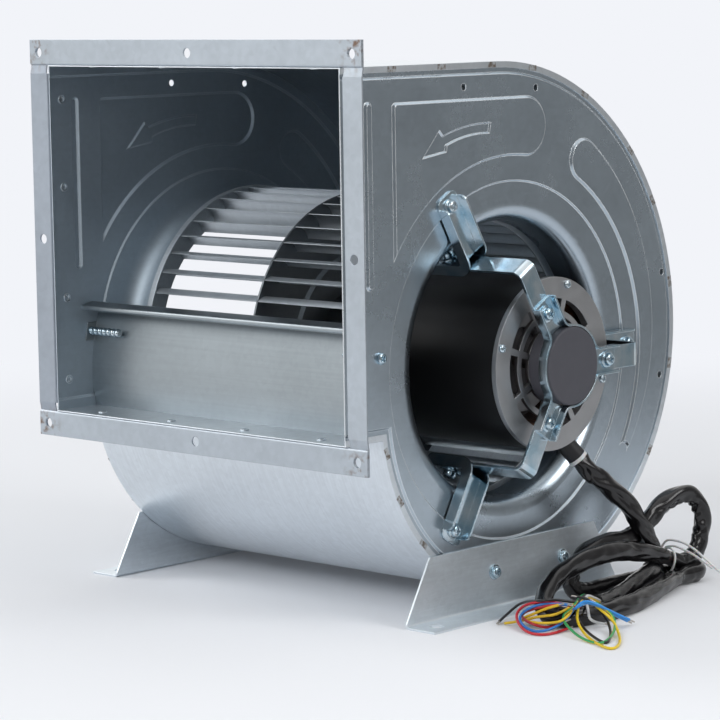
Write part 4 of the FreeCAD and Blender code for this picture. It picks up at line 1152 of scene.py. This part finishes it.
def makeTie(material):
    radius = tie["diameter"] / 2
    lean = math.radians(tie["lean"])
    across, back, height = tie["centre"]
    loop = []
    for step in range(tie["loopPoints"] + 1):
        turn = 2 * math.pi * step / tie["loopPoints"] + tie["start"]
        far = tie["halfLength"] * math.cos(turn)
        wide = tie["halfWidth"] * math.sin(turn)
        x = across + far * math.cos(lean) + wide * math.sin(lean)
        z = height + far * math.sin(lean) - wide * math.cos(lean)
        loop.append((x, back + tie["skew"] * math.sin(turn), max(z, radius + floorGap)))
    parts = []
    for points in (loop, tie["upperTail"], tie["lowerTail"]):
        line = evenly(routeLine(points), tie["ringSpacing"])[0]
        parts.append(sweptTube("strand", line, tie["sides"], lambda index, turn, outward: radius))
    piece = finishPiece(joined(parts, "white_wire_tie"), material, smooth=60)
    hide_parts("lead_tie")


makeScrews(zinc)
makeButtons(sideSheet)
makeWelds(spotWeldBurn())
makeTie(nylon)
print("fixings made")


# Studio

studio = {
    "floorSize": 14.0,
    "floorColour": "#e6e8ec",
    "backdropColour": "#f2f4f9",
    "floorGlow": 0.03,
    "paperFade": (0.6, 1.9),
    "roomFade": (0.55, 1.7),
    "worldDiffuse": 0.35,
    "brightSide": (-0.97, 0.05, -0.20),
    "dimSpan": (-0.55, 0.30),
    "roomLevels": (0.26, 1.0),
    "target": (0, 0, 0.2),
    "lamps": {
        "keyLight": {"place": (0.1, -3.0, 2.3), "size": (2.8, 2.0), "power": 62.0},
        "leftLight": {"place": (-2.7, -0.9, 1.9), "size": (1.8, 1.4), "power": 33.0},
        "sideLight": {"place": (2.8, 0.6, 1.7), "size": (1.6, 1.4), "power": 34.0},
        "topLight": {"place": (0.5, 0.8, 2.8), "size": (3.6, 3.0), "power": 24.0},
    },
}


def raysOf(tree):
    # The kinds of ray, and whether one shows a thing to the camera, straight or through glass
    rays = addNode(tree, "LightPath").outputs
    return rays, maths(tree, "MAXIMUM", rays["Is Camera Ray"], rays["Is Transmission Ray"])


def fadeOf(tree, reach, ray, span):
    # Goes from 0 to 1 with the distance from the middle, for one kind of ray
    return maths(tree, "MULTIPLY", ranged(tree, reach, over=span, smooth=True), ray)


def blended(tree, amount, first, second):
    inputs = {0: amount, 1: first.outputs[0], 2: second.outputs[0]}
    return addNode(tree, "MixShader", inputs)


def mixedFloat(tree, amount, low, high):
    return addNode(tree, "Mix", {0: amount, 2: low, 3: high}, data_type="FLOAT").outputs[0]


def makeFloor():
    # White paper. Far away the camera sees the backdrop's colour and metal the dim room.
    deselectAll()
    bpy.ops.mesh.primitive_plane_add(size=studio["floorSize"], location=(0, 0, 0))
    floor = bpy.context.object
    floor.name = "floor"
    material, tree, place = startMaterial("whitePaperFloor")
    values = {"Base Color": linear(studio["floorColour"]), "Roughness": 0.9, "Specular IOR Level": 0.2}
    shader = plug(tree, tree.nodes["Principled BSDF"], values)
    reach = addNode(tree, "VectorMath", {0: place}, operation="LENGTH").outputs["Value"]
    rays, direct = raysOf(tree)
    colour = linear(studio["backdropColour"])
    glow = addNode(tree, "Emission", {"Color": colour, "Strength": studio["floorGlow"]})
    paper = addNode(tree, "Emission", {"Color": colour, "Strength": 1.0})
    clear = addNode(tree, "BsdfTransparent")
    lifted = addNode(tree, "AddShader", {0: shader.outputs["BSDF"], 1: glow.outputs["Emission"]})
    near = blended(tree, maths(tree, "MAXIMUM", direct, rays["Is Glossy Ray"]), shader, lifted)
    far = blended(tree, fadeOf(tree, reach, direct, studio["paperFade"]), near, paper)
    whole = blended(tree, fadeOf(tree, reach, rays["Is Glossy Ray"], studio["roomFade"]), far, clear)
    plug(tree, tree.nodes["Material Output"], {"Surface": whole.outputs["Shader"]})
    floor.data.materials.append(material)


def makeWorld():
    # A white studio whose right half is dim. Metal sees the room, the camera the backdrop.
    world = bpy.data.worlds.new("studio")
    bpy.context.scene.world = world
    world.use_nodes = True
    tree = world.node_tree
    sky = addNode(tree, "TexCoord").outputs["Generated"]
    way = {0: sky, 1: studio["brightSide"]}
    toLeft = addNode(tree, "VectorMath", way, operation="DOT_PRODUCT").outputs["Value"]
    room = ranged(tree, toLeft, over=studio["dimSpan"], to=studio["roomLevels"], smooth=True)
    rays, direct = raysOf(tree)
    indirect = mixedFloat(tree, rays["Is Glossy Ray"], studio["worldDiffuse"], room)
    plug(tree, tree.nodes["Background"], {
        "Color": mixed(tree, rays["Is Camera Ray"], "#ffffff", studio["backdropColour"]),
        "Strength": mixedFloat(tree, direct, indirect, 1.0),
    })


def areaLight(name, lamp):
    data = bpy.data.lights.new(name, "AREA")
    data.shape = "RECTANGLE"
    data.size, data.size_y = lamp["size"]
    data.energy = lamp["power"]
    item = linked(name, data)
    item.location = lamp["place"]
    aim = Vector(studio["target"]) - Vector(lamp["place"])
    item.rotation_euler = aim.to_track_quat("-Z", "Y").to_euler()


makeFloor()
makeWorld()
for name, lamp in studio["lamps"].items():
    areaLight(name, lamp)
bpy.context.scene.view_settings.view_transform = "Standard"
print("studio made")
